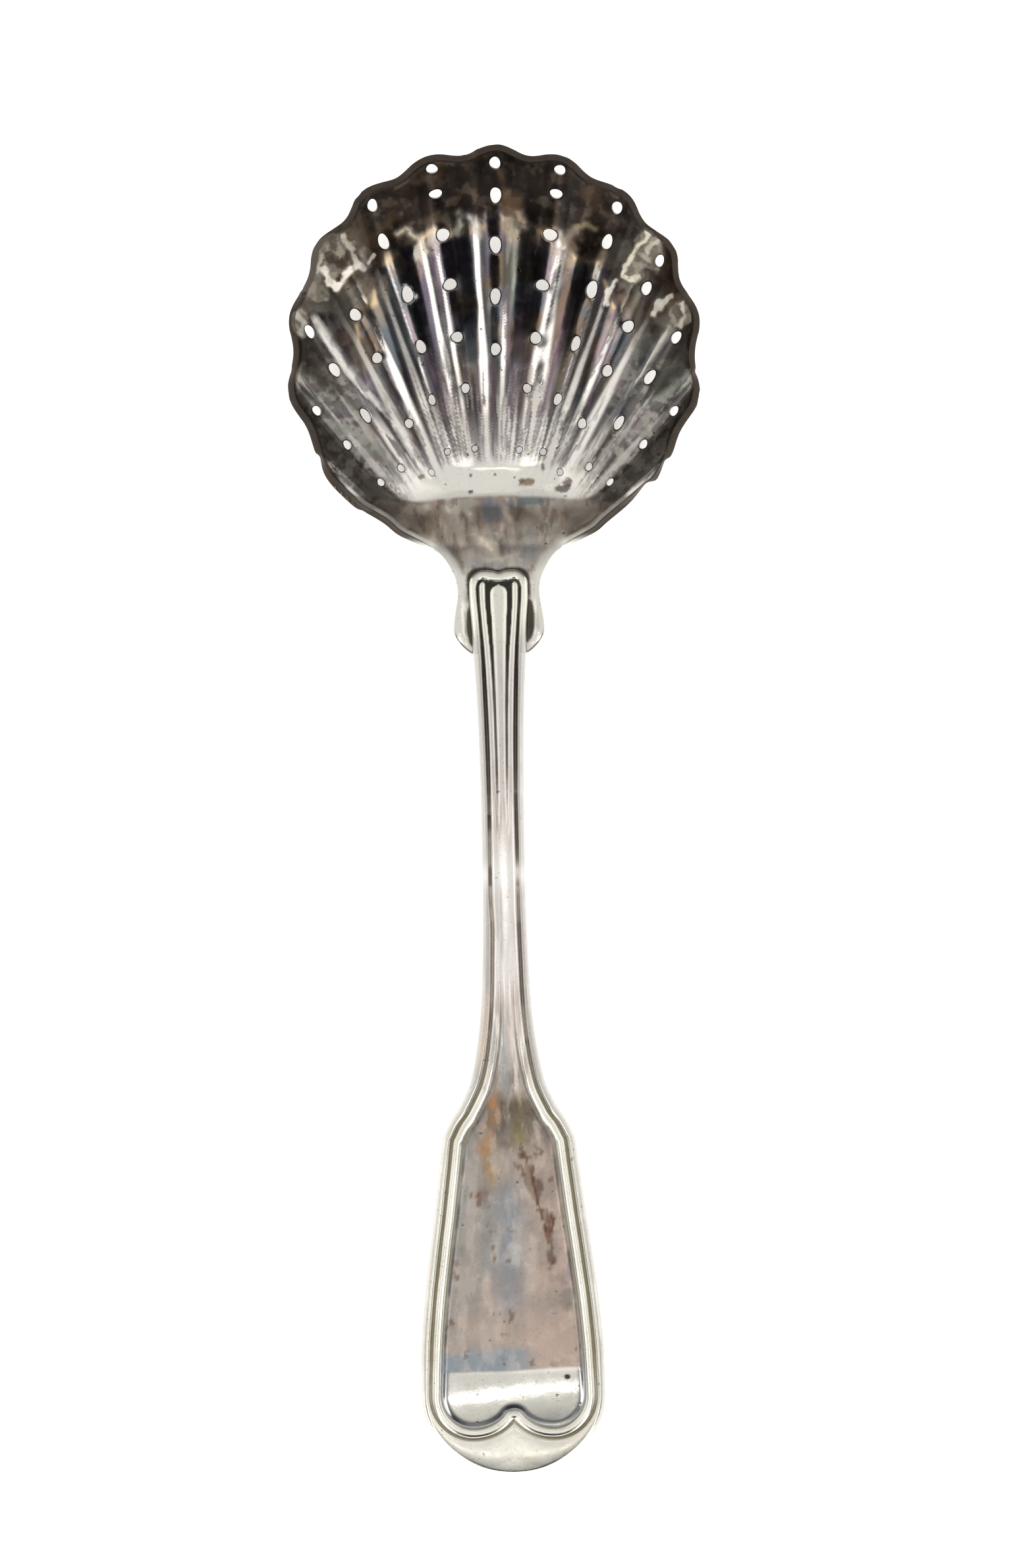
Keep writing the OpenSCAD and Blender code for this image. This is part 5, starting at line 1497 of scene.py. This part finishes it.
def old_silver(name, scratch_turn, pits):
    """Silver whose film comes from the painted values, broken up by fine noise."""
    m = Nodes(name)
    tint = m.t.nodes.new("ShaderNodeAttribute")
    tint.attribute_name = "tint"
    dull, crust = m.attr("dull"), m.attr("crust")
    big = m.noise(160, 5, 0.6, 0.3)
    mid = m.noise(560, 5, 0.62, 0.2)
    fine = m.noise(2600, 4, 0.65)
    # fine noise in the film: lighter rubbed grains and darker specks
    bw = m.t.nodes.new("ShaderNodeRGBToBW")
    m.t.links.new(tint.outputs["Color"], bw.inputs[0])
    light = m.math("MULTIPLY", m.span(mid, 0.52, 0.78), m.math("MULTIPLY", bw.outputs[0], 0.5))
    c = m.blend(light, tint.outputs["Color"], (0.80, 0.77, 0.72))
    dark = m.math("MULTIPLY", m.span(fine, 0.56, 0.80), 0.42)
    c = m.blend(dark, c, (0.055, 0.042, 0.034))
    spot = m.math("MULTIPLY", m.span(m.noise(900, 3, 0.5, 0.0), 0.68, 0.76), pits)
    c = m.blend(spot, c, (0.03, 0.025, 0.02))
    m.put(m.bsdf.inputs["Base Color"], c)
    m.put(m.bsdf.inputs["Metallic"], m.span(crust, 0.35, 0.75, 1.0, 0.12))
    rough = m.math("ADD", dull, m.span(mid, 0.3, 0.75, 0.0, 0.07))
    rough = m.math("ADD", rough, m.span(big, 0.35, 0.7, 0.0, 0.04))
    rough = m.math("ADD", rough, m.math("MULTIPLY", crust, 0.25), clamp=True)
    m.put(m.bsdf.inputs["Roughness"], rough)
    # hairline scratches in two directions, over soft unevenness and grain
    s1 = m.noise(900, 3, 0.7, 0.0, m.stretch(1, 0.05, 1, (0, 0, scratch_turn)))
    s2 = m.noise(1100, 3, 0.7, 0.0, m.stretch(1, 0.06, 1, (0, 0, scratch_turn + 0.9)))
    height = m.math("MULTIPLY", mid, 0.55)
    height = m.math("ADD", height, m.math("MULTIPLY", fine, 0.18))
    height = m.math("ADD", height, m.math("MULTIPLY", m.span(s1, 0.62, 0.72), -0.25))
    height = m.math("ADD", height, m.math("MULTIPLY", m.span(s2, 0.64, 0.74), -0.2))
    height = m.math("ADD", height, m.math("MULTIPLY", spot, -1.0))
    height = m.math("ADD", height, m.math("MULTIPLY", m.math("MULTIPLY", crust, m.noise(1500, 4, 0.7)), 3.5))
    m.put(m.bsdf.inputs["Normal"], m.bump(height, 0.22, 0.00005))
    return m.mat


def silver_bowl():
    return old_silver("tarnished_silver_bowl", 0.15, 0.8)


def silver_handle():
    return old_silver("tarnished_silver_handle", 0.05, 0.6)


def solder_dark():
    m = Nodes("dull_solder")
    mid = m.noise(900, 5, 0.6)
    m.put(m.bsdf.inputs["Base Color"], m.blend(m.span(mid, 0.3, 0.7), (0.05, 0.04, 0.03), (0.16, 0.14, 0.12)))
    m.bsdf.inputs["Metallic"].default_value = 1.0
    m.put(m.bsdf.inputs["Roughness"], m.span(mid, 0.3, 0.7, 0.45, 0.65))
    m.put(m.bsdf.inputs["Normal"], m.bump(mid, 0.5, 0.00006))
    return m.mat


def paper_floor():
    m = Nodes("pale_floor")
    n = m.noise(60, 3, 0.5)
    m.put(m.bsdf.inputs["Base Color"], m.blend(n, (0.90, 0.90, 0.895), (0.92, 0.92, 0.915)))
    m.bsdf.inputs["Roughness"].default_value = 0.8
    m.bsdf.inputs["Specular IOR Level"].default_value = 0.2
    m.bsdf.inputs["Emission Color"].default_value = (1, 1, 1, 1)
    m.bsdf.inputs["Emission Strength"].default_value = 0.24
    return m.mat


# ---------------------------------------------------------------- pieces
bowl = build_bowl()
handle = build_handle()
seam = build_seam()
bowl.data.materials.append(silver_bowl())
handle.data.materials.append(silver_handle())
seam.data.materials.append(solder_dark())
for piece, node, slot in (
    (bowl, "bowl", "bowl_silver"),
    (handle, "handle", "handle_silver"),
    (seam, "solder_seam", "solder"),
):
    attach(piece, "root")
    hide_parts(node)

# floor
me = bpy.data.meshes.new("floor")
me.from_pydata([(-3, -3, 0), (3, -3, 0), (3, 3, 0), (-3, 3, 0)], [], [(0, 1, 2, 3)])
floor = bpy.data.objects.new("floor", me)
floor.location = (0, 0, -0.00005)
bpy.context.scene.collection.objects.link(floor)
floor.data.materials.append(paper_floor())


# ---------------------------------------------------------------- light
def world():
    """A soft studio seen by the metal: a pale ceiling, two tall strip lights and grey walls."""
    w = bpy.data.worlds.new("studio")
    bpy.context.scene.world = w
    w.use_nodes = True
    t = w.node_tree
    for n in list(t.nodes):
        t.nodes.remove(n)
    out = t.nodes.new("ShaderNodeOutputWorld")
    bg = t.nodes.new("ShaderNodeBackground")
    t.links.new(bg.outputs[0], out.inputs[0])
    d = t.nodes.new("ShaderNodeTexCoord").outputs["Generated"]
    sep = t.nodes.new("ShaderNodeSeparateXYZ")
    t.links.new(d, sep.inputs[0])

    def put(sock, v):
        if isinstance(v, (int, float)):
            sock.default_value = v
        else:
            t.links.new(v, sock)

    def m(op, a, b=0.0):
        n = t.nodes.new("ShaderNodeMath")
        n.operation = op
        put(n.inputs[0], a)
        put(n.inputs[1], b)
        return n.outputs[0]

    def span(v, a, b, lo=0.0, hi=1.0):
        n = t.nodes.new("ShaderNodeMapRange")
        n.interpolation_type = "SMOOTHSTEP"
        put(n.inputs[0], v)
        for i, k in zip((1, 2, 3, 4), (a, b, lo, hi)):
            n.inputs[i].default_value = k
        return n.outputs[0]

    def lerp(f, a, b):
        return m("ADD", m("MULTIPLY", m("SUBTRACT", 1.0, f), a), m("MULTIPLY", f, b))

    deg = 180 / math.pi
    el = m("MULTIPLY", m("ARCSINE", sep.outputs[2]), deg)
    az = m("MULTIPLY", m("ARCTAN2", sep.outputs[0], m("MULTIPLY", sep.outputs[1], -1.0)), deg)
    aa = m("ABSOLUTE", az)
    # walls by azimuth: dark ahead of the handle, pale at the sides, grey behind the bowl
    wall = span(aa, 44, 80, WALL_DARK, WALL_SIDE)
    wall = m("MULTIPLY", wall, span(aa, 112, 160, 1.0, WALL_BACK))
    strip = m("MULTIPLY", span(aa, 18.5, 21.5), span(aa, 42, 50, 1.0, 0.0))
    wall = m("ADD", wall, m("MULTIPLY", m("MULTIPLY", strip, span(el, -30, 2)), STRIP))
    # the front wall grows paler towards the ceiling
    wall = m("ADD", wall, m("MULTIPLY", span(el, 46, 58), m("MULTIPLY", span(aa, 20, 60, 1.0, 0.0), FRONT)))
    # ceiling, with a bright edge in front and a bright middle
    rim = m("MULTIPLY", m("MULTIPLY", span(el, 59.9, 60.7), span(el, 62.3, 63.1, 1.0, 0.0)), m("MULTIPLY", span(aa, 9, 15, 1.0, 0.0), EDGE))
    ceil = m("ADD", span(el, 81.5, 86, CEILING, CEILING + DISC), rim)
    ceil = m("ADD", ceil, m("MULTIPLY", m("MULTIPLY", strip, span(el, 66, 80, 1.0, 0.0)), 0.9))
    total = lerp(span(el, 58.5, 60.5), wall, ceil)
    tone = t.nodes.new("ShaderNodeMix")
    tone.data_type = "RGBA"
    t.links.new(span(total, 0.05, 0.7), tone.inputs["Factor"])
    tone.inputs[6].default_value = (0.84, 0.88, 1.0, 1)
    tone.inputs[7].default_value = (1.0, 0.985, 0.95, 1)
    t.links.new(tone.outputs[2], bg.inputs["Color"])
    t.links.new(total, bg.inputs["Strength"])


CEILING, DISC, EDGE, FRONT = 0.78, 0.5, 1.3, 0.62
WALL_DARK, WALL_SIDE, WALL_BACK, STRIP = 0.045, 1.10, 0.6, 1.8
world()

# a wide soft light that only the matt floor shows, so that it stays pale
ld = bpy.data.lights.new("overhead", "AREA")
ld.shape, ld.size, ld.size_y, ld.energy = "RECTANGLE", 2.0, 2.0, 24
lamp = bpy.data.objects.new("overhead", ld)
lamp.location = (0, 0, 1.6)
lamp.visible_glossy = False
lamp.visible_camera = False
bpy.context.scene.collection.objects.link(lamp)

# ---------------------------------------------------------------- camera
cam_data = bpy.data.cameras.new("camera")
cam_data.lens = 800
cam_data.sensor_width = 36
cam = bpy.data.objects.new("camera", cam_data)
bpy.context.scene.collection.objects.link(cam)
covered = 2380 * 0.08915 * MM
dist = covered * cam_data.lens / 36
cam.location = (0.998 * MM, 3.54 * MM, 0.010 + dist)
cam.rotation_euler = (0, 0, math.radians(-1.07))
cam_data.clip_start, cam_data.clip_end = 1, 40
bpy.context.scene.camera = cam
bpy.context.scene.view_settings.view_transform = "Standard"
bpy.context.scene.view_settings.look = "None"
